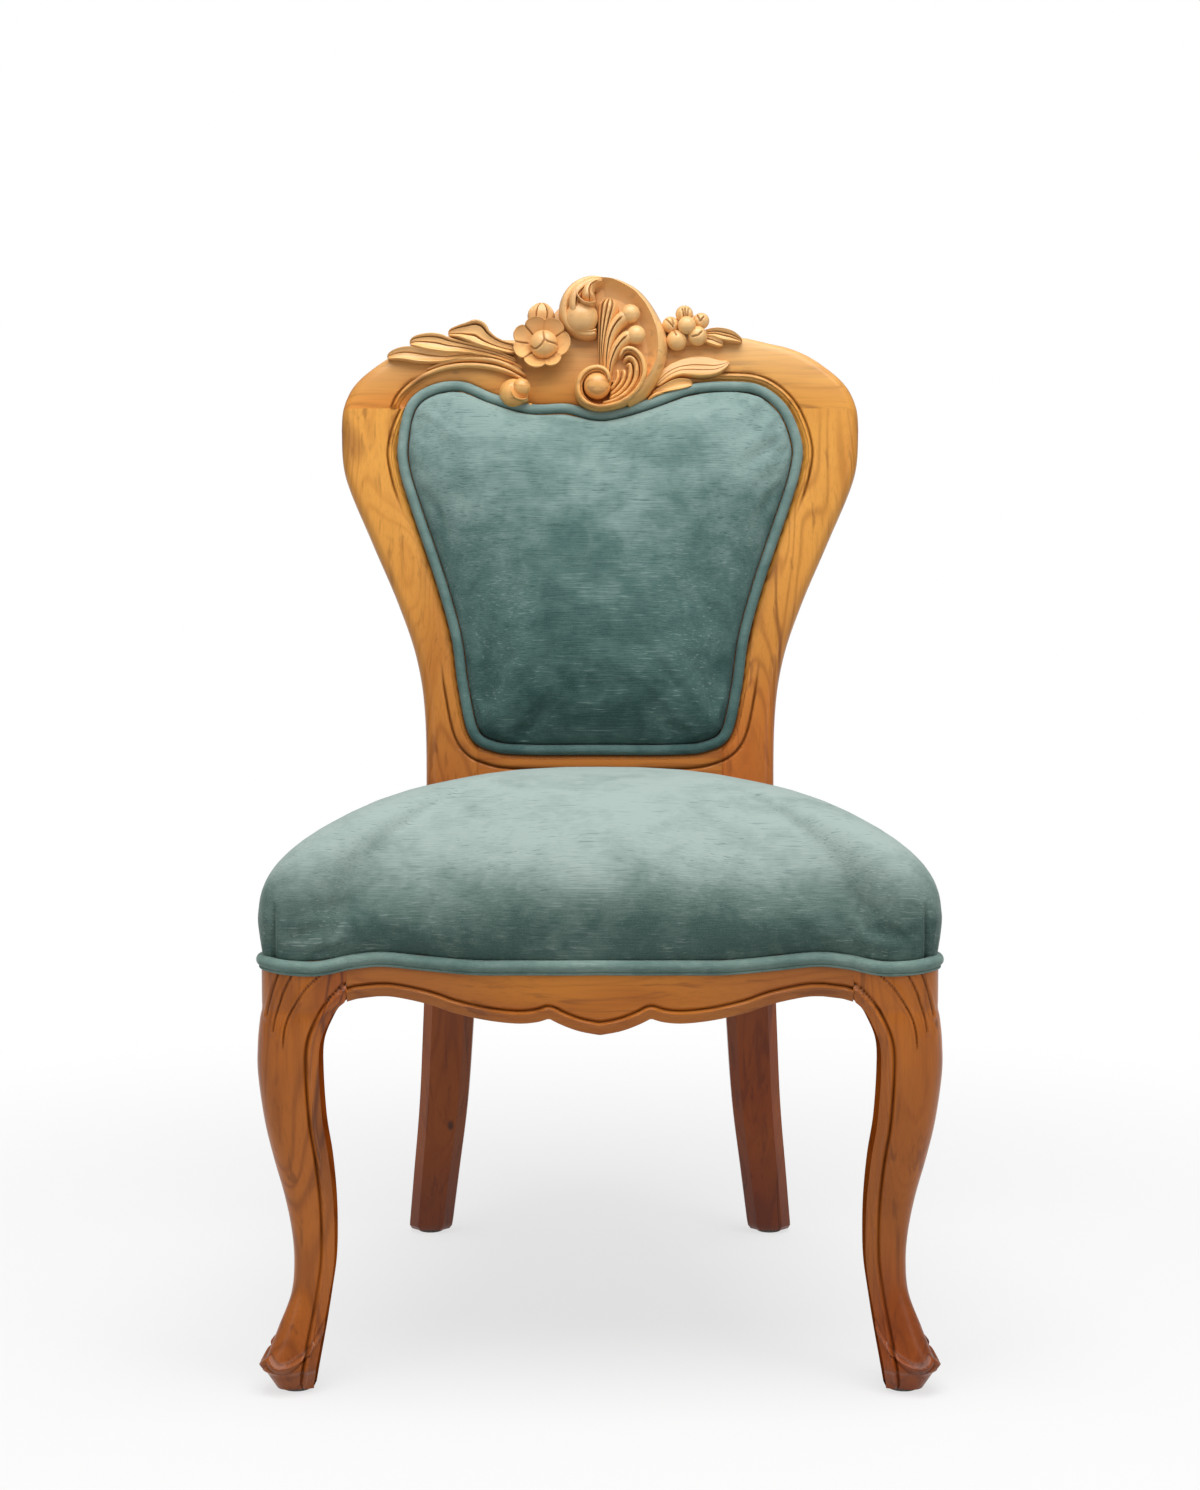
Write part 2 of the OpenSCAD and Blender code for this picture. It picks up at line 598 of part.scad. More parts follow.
// Seat rails
// Lower edge of the apron: share of its half length, share of its drop
apron_middle = [[0, 1], [0.08, 0.94], [0.15, 0.84], [0.2, 0.74]];
apron_flank = [[0.2, 0.74], [0.25, 0.8], [0.33, 0.82], [0.45, 0.76], [0.58, 0.64], [0.68, 0.5],
    [0.81, 0.38], [0.88, 0.37]];
apron_half = concat(
    [for (q = concat(smooth_open(apron_middle, 2), without_first(smooth_open(apron_flank, 2))))
        [rail_end * q[0], welt_z - apron_drop * q[1]]],
    [[0.96 * rail_end, welt_z - mix(0.37 * apron_drop, ear_drop, 0.45)], [rail_end, block_z]]);
module front_rail() {
    xs = [for (k = [-16:16]) rail_end * k / 16];
    difference() {
        placed() intersection() {
            translate([0, 0, block_z - apron_drop]) linear_extrude(seat_top) polygon(concat(
                [for (x = xs) [x, front_y(x)]],
                [[rail_end, rail_back_y], [-rail_end, rail_back_y]]));
            translate([0, 2 * rail_back_y, 0]) rotate([90, 0, 0]) linear_extrude(4 * rail_back_y)
                polygon(concat(
                    apron_half, [[rail_end, seat_top], [-rail_end, seat_top]],
                    mirrored(without_first(apron_half))));
        }
        cloth_step();
        seat_dowels(fix_gap);
        block_screws(fix_gap);
        tacks(fix_gap);
    }
}
side_low = [for (s = [[0, 0], [0.02, 0.6], [0.055, 0.95], [0.16, 0.98], [1, 1]])
    [mix(leg_block, seat_d, s[0]), mix(block_z, rail_low_z, s[1])]];
module side_rail() {
    difference() {
        placed() intersection() {
            linear_extrude(seat_top) polygon([
                [side_in_x(leg_block), leg_block], [side_x(leg_block), leg_block],
                [side_x(seat_d), seat_d], [side_in_x(seat_d), seat_d]]);
            rotate([90, 0, 90]) linear_extrude(seat_w) polygon(concat(
                side_low, [[seat_d, seat_top], [leg_block, seat_top]]));
        }
        cloth_step();
        seat_dowels(fix_gap);
        block_screws(fix_gap);
        tacks(fix_gap);
    }
}
module rear_rail() {
    difference() {
        placed() translate([-post_in, rear_rail_y, rail_low_z])
            cube([2 * post_in, rail_t, seat_top - rail_low_z]);
        placed() translate([-post_in - 1, rear_rail_y + rail_t - cloth_in, welt_z - welt_d / 2])
            cube([2 * post_in + 2, rail_t, seat_top]);
        seat_dowels(fix_gap);
        tacks(fix_gap);
    }
}

// Crest rail and lower back rail
crest_top = [[0.8, 0.05], [0.6, 0.12], [0.42, 0.2], [0.32, 0.45], [0.22, 0.85], [0.06, 1], [-0.08, 0.98],
    [-0.22, 0.7], [-0.3, 0.38], [-0.42, 0.2], [-0.6, 0.2], [-0.8, 0.12]];
crest_arc = concat([shoulder_arc[3]],
    [for (s = crest_top) [carving_half * s[0], mix(carving_end_v, crest_v, s[1])]],
    [[-shoulder_arc[3][0], shoulder_arc[3][1]]]);
crest_low = [for (q = edge_line) if (q[1] > joint_v - back_dowel_l) q];
crest_outline = concat(crest_low, smooth_open(crest_arc, 2), mirrored(crest_low));
module crest_rail_solid() {
    difference() {
        on_back() intersection() {
            translate([0, 0, -back_t]) linear_extrude(back_t) polygon(crest_outline);
            translate([-shoulder_w, joint_v + glue_gap, -2 * back_t])
                cube([2 * shoulder_w, shoulder_w, 3 * back_t]);
        }
        on_back() pad_cuts();
        back_dowels(fix_gap);
    }
}
module low_rail() {
    difference() {
        on_back() translate([-post_in, low_rail_v, -back_t])
            cube([2 * post_in, low_rail_h + ledge_w + 10, back_t]);
        on_back() pad_cuts();
        back_dowels(fix_gap);
    }
}

// Carving: every band is a strip along a curve that tapers from one width to another
function band(path, from, to) = let (m = len(path) - 1) concat(
    [for (i = [0:m]) path[i] + band_side(path, i) * mix(from, to, i / m) / 2],
    [for (i = [m:-1:0]) path[i] - band_side(path, i) * mix(from, to, i / m) / 2]);
function band_side(path, i) = let (m = len(path) - 1) outward(path[min(i + 1, m)] - path[max(i - 1, 0)]);
module strip(points, from, to, height, n = 3) {
    linear_extrude(height) polygon(band(smooth_open(points, n), from, to));
}
module bead(at, r, lift) { translate([at[0], at[1], lift]) sphere(r = r, $fn = 24); }
// Half width, height above the lobes and depth for which the carving is drawn
drawn_for = [188, 90, 24];
// Fits the carving to the crest and keeps what stands in front of the rail's face
module relief() {
    on_back() translate([0, 0, glue_gap]) intersection() {
        translate([0, crest_v, 0])
            scale([carving_half / drawn_for[0], crest_rise / drawn_for[1], carving_d / drawn_for[2]])
                children();
        difference() {
            translate([-shoulder_w, 0, 0]) cube([2 * shoulder_w, 2 * crest_v, 3 * carving_d]);
            pad_prism(-soft_gap, -1, 3 * carving_d + 1);
        }
    }
}

// Places in the carving are measured from the top of the crest
scroll_path = [[28, -118], [47, -106], [57, -88], [60, -62], [58, -42], [47, -22], [28, -7], [6, 0],
    [-14, -2], [-26, -10], [-31, -22]];
// Outline of the hollow inside the scroll
scroll_hollow = [[6, -4], [40, -20], [55, -45], [56, -85], [38, -112], [12, -112], [-12, -90], [-4, -60],
    [-12, -28]];
module scroll_solid() {
    strip(scroll_path, 16, 10, 20);
    bead([-18, -30], 16, 8);
    linear_extrude(8) polygon(smooth_closed(scroll_hollow, 3));
    for (i = [0:2]) {
        strip(plume[i], 6, 10, 11 + i, 2);
        bead(plume[i][3] + [0.7, 2.3], 7.3, 9 + i);
    }
    translate([-2, -104, 0]) cylinder(r = 20, h = 13, $fn = 48);
    bead([-2, -104], 11, 12);
}
// Fingers of the plume, from the root to the bead at the tip
plume = [
    [[22, -104], [18, -78], [9, -48], [6, -18]],
    [[30, -104], [30, -80], [28, -56], [29, -33]],
    [[37, -104], [40, -88], [40, -72], [37, -58]]];

rose_at = [-57, -56];
module rose_solid() {
    translate([rose_at[0], rose_at[1], 0]) {
        cylinder(r = 22, h = 8, $fn = 48);
        for (k = [0:5]) rotate(60 * k + 20) translate([18, 0, 4]) sphere(r = 12, $fn = 24);
        cylinder(r = 12, h = 17, $fn = 32);
        translate([0, 0, 16]) sphere(r = 8, $fn = 24);
    }
    strip([[-62, -38], [-58, -26], [-55, -18]], 26, 14, 9);
}
left_leaves = [
    [[-108, -74], [-150, -66], [-190, -62], [-214, -70]],
    [[-100, -66], [-140, -54], [-170, -48], [-190, -56]],
    [[-94, -60], [-115, -44], [-135, -36], [-152, -46]]];
module left_leaf_solid() {
    for (k = [0:2]) strip(left_leaves[k], 12, 7, 9 + 2 * k);
    strip([[-86, -80], [-100, -74], [-120, -70], [-150, -74], [-178, -82]], 9, 5, 8);
}
module bud_solid() {
    bead([-83, -104], 9, 8);
    strip([[-66, -94], [-76, -93], [-87, -93], [-95, -100], [-96, -109]], 6, 4, 8);
    strip([[-72, -106], [-75, -112], [-69, -117]], 6, 4, 7);
}
blossom_at = [87, -40];
module blossom_solid() {
    translate([blossom_at[0], blossom_at[1], 0]) {
        cylinder(r = 12, h = 8, $fn = 32);
        for (k = [0:4]) rotate(72 * k + 90) translate([13, 0, 5]) sphere(r = 8, $fn = 24);
        translate([0, 0, 10]) sphere(r = 7, $fn = 24);
    }
    strip([[104, -44], [120, -46], [143, -52]], 13, 5, 9);
    strip([[100, -52], [112, -58], [124, -60]], 10, 5, 7);
}
module right_leaf_solid() {
    strip([[70, -92], [88, -79], [108, -72], [130, -74]], 8, 5, 7);
    strip([[70, -98], [90, -92], [112, -86], [128, -78]], 10, 5, 6);
    strip([[68, -103], [78, -99], [94, -95]], 8, 4, 9);
}

// Seat cloth and foam
seat_mid_y = seat_d / 2;
bulge_z = seat_top + seat_bulge;
crown_rings = [0.99, 0.96, 0.91, 0.83, 0.7, 0.42];
function rear_loss(y) = 1 - rear_fall * ease((y - seat_mid_y) / (seat_d - seat_mid_y));
function crown_z(r, y, d) = bulge_z
    + (seat_top + seat_crown - bulge_z - d) * pow(1 - pow(r, crown_power), 1 / crown_power) * rear_loss(y);
function crown_ring(r, d) = [for (q = grown(seat_plan, seat_bulge - d))
    let (x = r * q[0], y = seat_mid_y + r * (q[1] - seat_mid_y)) [x, y, crown_z(r, y, d)]];
function hem_ring(z, out, waves) = let (plan = grown(seat_plan, out)) [
    for (i = [0:len(plan) - 1]) let (q = plan[i])
        [q[0], q[1], beside_post(seat_plan[i]) ? max(z, seat_top + soft_gap) : z + waves * welt_wave(q)]];
hem_z = welt_z + welt_d / 2;
hem_in = soft_gap - cloth_in;
hem_out = hem_in + cover_t;
module seat_cover_solid() {
    side_z = mix(hem_z, bulge_z, 0.45);
    side_out = mix(hem_out, seat_bulge, 0.7);
    placed() skin(
        concat([hem_ring(hem_z, hem_out, 1), hem_ring(side_z, side_out, 0.5),
                hem_ring(bulge_z, seat_bulge, 0)],
            [for (r = crown_rings) crown_ring(r, 0)]),
        concat([hem_ring(hem_z, hem_in, 1), hem_ring(side_z, hem_in, 0.5),
                hem_ring(bulge_z, seat_bulge - cover_t, 0)],
            [for (r = crown_rings) crown_ring(r, cover_t)]),
        [0, seat_mid_y, crown_z(0, seat_mid_y, 0)],
        [0, seat_mid_y, crown_z(0, seat_mid_y, cover_t)]);
}
web_z = seat_top + soft_gap;
hessian_z = web_z + 2 * web_t + soft_gap;
foam_z = hessian_z + sheet_t + soft_gap;
foam_in = cover_t + soft_gap;
module seat_foam_solid() {
    placed() dome(
        concat([lifted(grown(seat_plan, -foam_in - 1), foam_z),
                lifted(grown(seat_plan, seat_bulge - foam_in - 1), foam_z + 3)],
            [for (r = crown_rings) crown_ring(r, foam_in)]),
        [0, seat_mid_y, crown_z(0, seat_mid_y, foam_in)]);
}

// Webbing: strips that pass over and under each other
web_side = post_in - post_room - cloth_in - 1 - web_w / 2;
web_xs = [for (k = [-1, -1 / 3, 1 / 3, 1]) k * web_side];
web_ys = [0.22, 0.41, 0.6, 0.79];
function web_y(k) = seat_d * web_ys[k];
// Profile of one strip: its two ends, the strips it crosses, and whether it starts above or below
function web_line(ends, crossed, half, phase) = concat(
    [[ends[0], 0]],
    [for (k = [0:len(crossed) - 1]) each
        let (up = (k + phase) % 2 == 0 ? web_t : 0) [[crossed[k] - half, up], [crossed[k] + half, up]]],
    [[ends[1], 0]]);
module web_strip(ends, crossed, half, phase) {
    line = web_line(ends, crossed, half, phase);
    linear_extrude(web_w, center = true)
        polygon(concat(line, [for (q = reversed(line)) [q[0], q[1] + web_t]]));
}
web_half = web_w / 2 + 3;
function web_reach(k) = side_x(web_y(k) + web_w / 2) - cloth_in - 2;
rear_web_y = rear_rail_y + rail_t - web_in;
front_web_y = front_hollow + web_in;
module seat_webbing_solid() {
    difference() {
        placed() translate([0, 0, web_z]) {
            for (i = [0:3]) translate([web_xs[i], 0, 0]) rotate([90, 0, 90])
                web_strip([front_web_y, rear_web_y], [for (k = [0:3]) web_y(k)], web_half, i);
            for (k = [0:3]) translate([0, web_y(k), 0]) rotate([90, 0, 0])
                web_strip([-web_reach(k), web_reach(k)], web_xs, web_half, k + 1);
        }
        tacks(fix_gap);
    }
}
module tack(gap) {
    translate([0, 0, web_t - tack_l]) cylinder(d = tack_d + 2 * gap, h = tack_l, $fn = 24);
    translate([0, 0, web_t]) cylinder(d = tack_head_d + 2 * gap, h = 0.5, $fn = 24);
}
module tacks(gap = 0) {
    placed() translate([0, 0, web_z]) for (s = [-1, 1]) {
        for (x = web_xs) translate([x + s * web_w / 4, 0, 0]) {
            translate([0, front_web_y + tack_in, 0]) tack(gap);
            translate([0, rear_web_y - tack_in, 0]) tack(gap);
        }
        for (k = [0:3]) for (t = [-1, 1])
            translate([s * (web_reach(k) - tack_in), web_y(k) + t * web_w / 4, 0]) tack(gap);
    }
}
hessian_in = 12;
module seat_hessian_solid() {
    placed() translate([0, 0, hessian_z]) linear_extrude(sheet_t) polygon(grown(plain_plan, -hessian_in));
}

module seat_welt_solid() {
    half = grown(seat_plan, welt_out);
    count = len(front_points) + len(corner_points) + 3;
    right = concat([for (i = [0:count - 1]) half[i]], [[side_x(seat_d - 1.5) + welt_out, seat_d - 1.5]]);
    left = mirrored([for (i = [1:count]) right[i]]);
    path = [for (q = concat(left, right)) [q[0], q[1], welt_z + welt_wave(q)]];
    placed() welt_tube(path, welt_d);
}
module rear_welt_solid() {
    placed() translate([-(post_in - post_room), rear_rail_y + rail_t + welt_out, welt_z]) rotate([0, 90, 0])
        cylinder(d = welt_d, h = 2 * (post_in - post_room), $fn = 24);
}
dust_z = block_z0 - soft_gap - sheet_t;
module dust_cover_solid() {
    g = soft_gap;
    leg_chamfer = leg_block - corner_drop - rail_t;
    half = [
        [rail_end, rail_back_y + g],
        [rail_end + leg_chamfer - 2 * g, leg_block + g / 2],
        [side_in_x(leg_block + g) - g, leg_block + g],
        [side_in_x(seat_d) - g, seat_d - g],
        [post_in, seat_d - g],
        [post_in, rear_rail_y - g]];
    difference() {
        placed() translate([0, 0, dust_z]) linear_extrude(sheet_t) polygon(concat(half, mirrored(half)));
        front_legs_solid();
    }
}

// Back pad, from its webbing to its cover
pad_mid = [0, mix(pad_low_v, pad_dip_v, 0.55)];
back_web_w = -rebate_d + soft_gap;
back_hessian_w = back_web_w + 2 * web_t + soft_gap;
back_foam_w = back_hessian_w + sheet_t + soft_gap;
// Inset of the cover's hem, between the welt and the webbing
hem_inset = welt_d + 2 * soft_gap;
web_inset = hem_inset + cover_t + soft_gap;
pad_rings = [0.97, 0.92, 0.84, 0.7, 0.42];
pad_power = 2.6;
function pad_ring(r, inset, lift, d) = [for (q = grown(pad_outline, -inset))
    let (p = pad_mid + r * (q - pad_mid))
    [p[0], p[1], lift + (back_crown - lift - d) * pow(1 - pow(r, pad_power), 1 / pad_power)]];
module back_cover_solid() {
    low = soft_gap - rebate_d;
    all_rings = concat([1], pad_rings);
    on_back() skin(
        concat([lifted(grown(pad_outline, -hem_inset), low)],
            [for (r = all_rings) pad_ring(r, hem_inset, 2, 0)]),
        concat([lifted(grown(pad_outline, -hem_inset - cover_t), low)],
            [for (r = all_rings) pad_ring(r, hem_inset + cover_t, 2, cover_t)]),
        [pad_mid[0], pad_mid[1], back_crown],
        [pad_mid[0], pad_mid[1], back_crown - cover_t]);
}
module back_foam_solid() {
    d = cover_t + soft_gap;
    on_back() dome(
        concat([lifted(grown(pad_outline, -web_inset), back_foam_w)],
            [for (r = concat([1], pad_rings)) pad_ring(r, hem_inset + d, 2, d)]),
        [pad_mid[0], pad_mid[1], back_crown - d]);
}
back_web_xs = [-55, 55];
back_web_vs = [0.25, 0.52, 0.8];
function back_web_v(k) = mix(pad_low_v, pad_dip_v, back_web_vs[k]);
function pad_half(v) = edge_x(v) - stile_w(v);
module back_webbing_solid() {
    low_end = pad_low_v + web_inset + 2;
    high_end = pad_dip_v - web_inset - 4;
    on_back() translate([0, 0, back_web_w]) {
        for (i = [0:1]) translate([back_web_xs[i], 0, 0]) rotate([90, 0, 90])
            web_strip([low_end, high_end], [for (k = [0:2]) back_web_v(k)], web_half, i);
        for (k = [0:2]) translate([0, back_web_v(k), 0]) rotate([90, 0, 0])
            web_strip([-pad_half(back_web_v(k) - web_w / 2) + web_inset + 2,
                pad_half(back_web_v(k) - web_w / 2) - web_inset - 2], back_web_xs, web_half, k + 1);
    }
}
module back_hessian_solid() {
    on_back() pad_prism(web_inset, back_hessian_w, back_hessian_w + sheet_t);
}
module back_welt_solid() {
    on_back() welt_tube(lifted(grown(pad_outline, -welt_d / 2 - soft_gap), 1), welt_d, true);
}
rear_welt_d = 0.8 * welt_d;
module outside_back_solid() {
    face = rear_rebate_d - back_t - soft_gap;
    on_back() pad_prism(rear_inset + rear_welt_d + 2 * soft_gap, face - cover_t, face);
}
module outside_welt_solid() {
    lift = rear_rebate_d - back_t - soft_gap - rear_welt_d / 2;
    line = grown(pad_outline, -rear_inset - rear_welt_d / 2 - soft_gap);
    on_back() welt_tube(lifted(line, lift), rear_welt_d, true, 6);
}
module glides(gap = 0) {
    both_sides() placed() for (p = [
            [corner_x - foot_in - foot_w / 2, foot_in + foot_w / 2],
            [rear_foot_x - rear_foot_w / 2, seat_d + rear_rake + back_t / 2 - 1]])
        translate([p[0], p[1], 0]) {
            cylinder(d = glide_d, h = glide_t, $fn = 48);
            cylinder(d = glide_pin_d + 2 * gap, h = glide_t + glide_pin_l + gap, $fn = 24);
        }
}

module front_right_leg() { color(wood) front_leg(); }
module front_left_leg() { color(wood) mirror([1, 0, 0]) front_leg(); }
module right_back_post() { color(wood) back_post(); }
module left_back_post() { color(wood) mirror([1, 0, 0]) back_post(); }
module front_seat_rail() { color(wood) front_rail(); }
module right_seat_rail() { color(wood) side_rail(); }
module left_seat_rail() { color(wood) mirror([1, 0, 0]) side_rail(); }
module rear_seat_rail() { color(wood) rear_rail(); }
module crest_rail() { color(wood) crest_rail_solid(); }
module lower_back_rail() { color(wood) low_rail(); }
module front_right_corner_block() { color("burlywood") front_block(); }
module front_left_corner_block() { color("burlywood") mirror([1, 0, 0]) front_block(); }
module rear_right_corner_block() { color("burlywood") rear_block(); }
module rear_left_corner_block() { color("burlywood") mirror([1, 0, 0]) rear_block(); }
module corner_block_screws() { color("silver") block_screws(); }
module seat_frame_dowels() { color("wheat") seat_dowels(); }
module back_frame_dowels() { color("wheat") back_dowels(); }
module foot_glides() { color("dimgray") glides(); }
module scroll_carving() { color(wood) relief() scroll_solid(); }
module rose_carving() { color(wood) relief() rose_solid(); }
module left_leaf_carving() { color(wood) relief() left_leaf_solid(); }
module bud_carving() { color(wood) relief() bud_solid(); }
module blossom_carving() { color(wood) relief() blossom_solid(); }
module right_leaf_carving() { color(wood) relief() right_leaf_solid(); }
module seat_webbing() { color("tan") seat_webbing_solid(); }
module webbing_tacks() { color("gray") tacks(); }
module seat_hessian() { color("peru") seat_hessian_solid(); }
module seat_foam() { color("khaki") seat_foam_solid(); }
module seat_cover() { color(velvet) seat_cover_solid(); }
module seat_welt() { color(velvet) seat_welt_solid(); }
module rear_seat_welt() { color(velvet) rear_welt_solid(); }
module dust_cover() { color([0.15, 0.15, 0.15]) dust_cover_solid(); }
module back_webbing() { color("tan") back_webbing_solid(); }
module back_hessian() { color("peru") back_hessian_solid(); }
module back_foam() { color("khaki") back_foam_solid(); }
module back_cover() { color(velvet) back_cover_solid(); }
module back_welt() { color(velvet) back_welt_solid(); }
module outside_back_cover() { color(velvet) outside_back_solid(); }
module outside_back_welt() { color(velvet) outside_welt_solid(); }

front_left_leg();
front_right_leg();
left_back_post();
right_back_post();
front_seat_rail();
left_seat_rail();
right_seat_rail();
rear_seat_rail();
crest_rail();
lower_back_rail();
front_left_corner_block();
front_right_corner_block();
rear_left_corner_block();
rear_right_corner_block();
corner_block_screws();
seat_frame_dowels();
back_frame_dowels();
foot_glides();
scroll_carving();
rose_carving();
left_leaf_carving();
bud_carving();
blossom_carving();
right_leaf_carving();
seat_webbing();
webbing_tacks();
seat_hessian();
seat_foam();
seat_cover();
seat_welt();
rear_seat_welt();
dust_cover();
back_webbing();
back_hessian();
back_foam();
back_cover();
back_welt();
outside_back_cover();
outside_back_welt();
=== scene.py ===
# %% [markdown]
# A carved dining chair with a balloon back, cabriole front legs, a padded back and a crowned seat.
# The CAD model gives the frame: every place below is in metres in its axes, X to the right, Y to the
# back and Z up. This file gives the chair its carved wood, its velvet and its small joinery.

# %% Load the frame
import math
from contextlib import contextmanager

import bpy
import numpy as np
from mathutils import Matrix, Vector


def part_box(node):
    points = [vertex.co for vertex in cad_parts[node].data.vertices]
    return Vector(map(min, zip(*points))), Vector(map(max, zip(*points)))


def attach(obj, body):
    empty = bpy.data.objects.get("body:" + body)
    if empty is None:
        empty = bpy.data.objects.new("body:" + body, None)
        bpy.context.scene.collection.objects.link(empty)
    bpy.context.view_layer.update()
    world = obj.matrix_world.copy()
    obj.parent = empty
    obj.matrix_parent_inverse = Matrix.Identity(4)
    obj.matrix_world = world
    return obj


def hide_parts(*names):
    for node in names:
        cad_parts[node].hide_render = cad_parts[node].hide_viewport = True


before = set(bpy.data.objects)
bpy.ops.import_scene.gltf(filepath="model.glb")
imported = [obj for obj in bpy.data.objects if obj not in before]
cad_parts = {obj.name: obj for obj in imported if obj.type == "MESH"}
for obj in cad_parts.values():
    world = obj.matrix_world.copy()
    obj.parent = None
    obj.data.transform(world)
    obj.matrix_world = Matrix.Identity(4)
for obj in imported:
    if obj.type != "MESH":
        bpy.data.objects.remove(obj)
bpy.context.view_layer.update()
print("CAD nodes:", len(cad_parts))

# %% [markdown]
# The chair's sizes are drawn in millimetres, as a chair maker gives them, and made metres at the end.
# The back leans, so its pieces are drawn flat: x across, v up along the back and w out of its face.

# %% Sizes of the chair
MM = 0.001
CORNER_X = 276          # half width over the front corners
LEG_BLOCK = 70          # side of the block at the top of a front leg
RAIL_END = CORNER_X - LEG_BLOCK
POST_X = 171            # half width over the posts at the seat
POST_IN = 120           # inner half width between the posts
SEAT_D = 437            # depth from the front corners to the posts
SEAT_TOP = 382          # top of the seat rails
WELT_Z = 350            # line of the seat welt, before its rise and wave
RAIL_T = 24             # thickness of a rail
CLOTH_IN = 6            # step in the wood for the seat cloth
STEP_Z = WELT_Z - 5     # height of that step
BACK_T = 34             # thickness of the back frame
LEAN = math.radians(11)
JOINT_V = 460           # joints between posts and crest
LOW_V, PAD_LOW_V = 68, 110
SHOULDER_V, SHOULDER_X = 440, 260
STILE_LOW_W, STILE_TOP_W = 33.5, 57
CREST_V, CARVED_V, CARVED_X = 582, 526, 188
TOE_OUT = 2
FRONT_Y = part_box("front_right_leg")[0].y / MM + TOE_OUT
BACK_Y = FRONT_Y + SEAT_D
WELT_D, WELT_GAP = 10, 0.35


def mix(a, b, t):
    return a + (b - a) * t


def ease(t):
    t = min(max(float(t), 0.0), 1.0)
    return t * t * (3 - 2 * t)


def on_back(points):
    """Points drawn on the leaning back, in millimetres, as places in metres."""
    x, v, w = np.moveaxis(np.asarray(points, float), -1, 0)
    sin, cos = math.sin(LEAN), math.cos(LEAN)
    return np.stack([x, BACK_Y + v * sin - w * cos, SEAT_TOP + v * cos + w * sin], -1) * MM


def at_depth(flat, w):
    """A flat line of the back, laid at w out of its face, as places in metres."""
    return on_back(np.column_stack([flat, np.full(len(flat), w)]))


def on_floor_plan(points):
    """Points measured back from the line of the front corners, as places in metres."""
    x, y, z = np.moveaxis(np.asarray(points, float), -1, 0)
    return np.stack([x, FRONT_Y + y, z], -1) * MM


print("front corners at y =", round(FRONT_Y * MM, 4), "back face at y =", round(BACK_Y * MM, 4))

# %% [markdown]
# Nearly every line of this chair is a free curve, so one spline helper draws them all: it passes
# through a few chosen points, and a second helper spaces its points evenly.

# %% Curves
def spline(points, steps=6, closed=False):
    """A smooth curve through the points, with so many steps between two of them."""
    p = np.array(points, float)
    m = len(p)
    out = []
    for i in range(m if closed else m - 1):
        if closed:
            a, b, c, d = p[i - 1], p[i], p[(i + 1) % m], p[(i + 2) % m]
        else:
            a, b, c, d = p[max(i - 1, 0)], p[i], p[i + 1], p[min(i + 2, m - 1)]
        for t in np.arange(steps) / steps:
            out.append(b + (c - a) * t / 2 + (2 * a - 5 * b + 4 * c - d) * t ** 2 / 2
                       + (3 * b - a - 3 * c + d) * t ** 3 / 2)
    if not closed:
        out.append(p[-1])
    return np.array(out)


def evenly(curve, count, closed=False):
    """The same curve drawn with a count of points at equal distances."""
    curve = np.vstack([curve, curve[:1]]) if closed else np.asarray(curve, float)
    step = np.linalg.norm(np.diff(curve, axis=0), axis=1)
    run = np.concatenate([[0], np.cumsum(step)])
    want = np.linspace(0, run[-1], count, endpoint=not closed)
    return np.column_stack([np.interp(want, run, column) for column in curve.T])


def sideways(curve, closed=False):
    """Unit normals of a flat curve, to the right of its direction."""
    if closed:
        along = np.roll(curve, -1, 0) - np.roll(curve, 1, 0)
    else:
        along = np.gradient(curve, axis=0)
    along = along / np.maximum(np.linalg.norm(along, axis=1), 1e-9)[:, None]
    return np.column_stack([along[:, 1], -along[:, 0]])


def grown(outline, out):
    """A closed outline that runs counter-clockwise, moved outwards."""
    return outline + sideways(outline, closed=True) * out


def line_distance(points, line):
    """Distance of flat points from the nearest point of a line."""
    points = np.asarray(points, float).reshape(-1, 2)
    return np.sqrt(((points[:, None] - line[None]) ** 2).sum(-1).min(1))


# %% [markdown]
# The back's outline swells from the waist to the shoulders and runs over the crest. The pad's opening
# follows it inside, with two lobes and a dip under the carving.

# %% Outlines of the back
SWEEP = [(-0.1, 0), (0.1, 0), (0.33, 0.02), (0.47, 0.12), (0.6, 0.34), (0.74, 0.64), (0.89, 0.945), (1, 1)]
side_edge = spline([(mix(POST_X + 0.5, SHOULDER_X, s), h * SHOULDER_V) for h, s in SWEEP], 8)
shoulder = spline([(SHOULDER_X, SHOULDER_V)] + [
    (mix(CARVED_X, SHOULDER_X, a), mix(SHOULDER_V, CARVED_V, b))
    for a, b in [(0.97, 0.28), (0.8, 0.57), (0.35, 0.87), (0, 1)]], 8)
outer_edge = np.vstack([side_edge, shoulder[1:]])


def edge_x(v):
    """Half width of the back at a height."""
    return float(np.interp(v, outer_edge[:, 1], outer_edge[:, 0]))


def stile_w(v):
    """Width of the frame beside the pad's opening at a height."""
    return mix(STILE_LOW_W, STILE_TOP_W, ease((v - PAD_LOW_V) / (SHOULDER_V - PAD_LOW_V)))


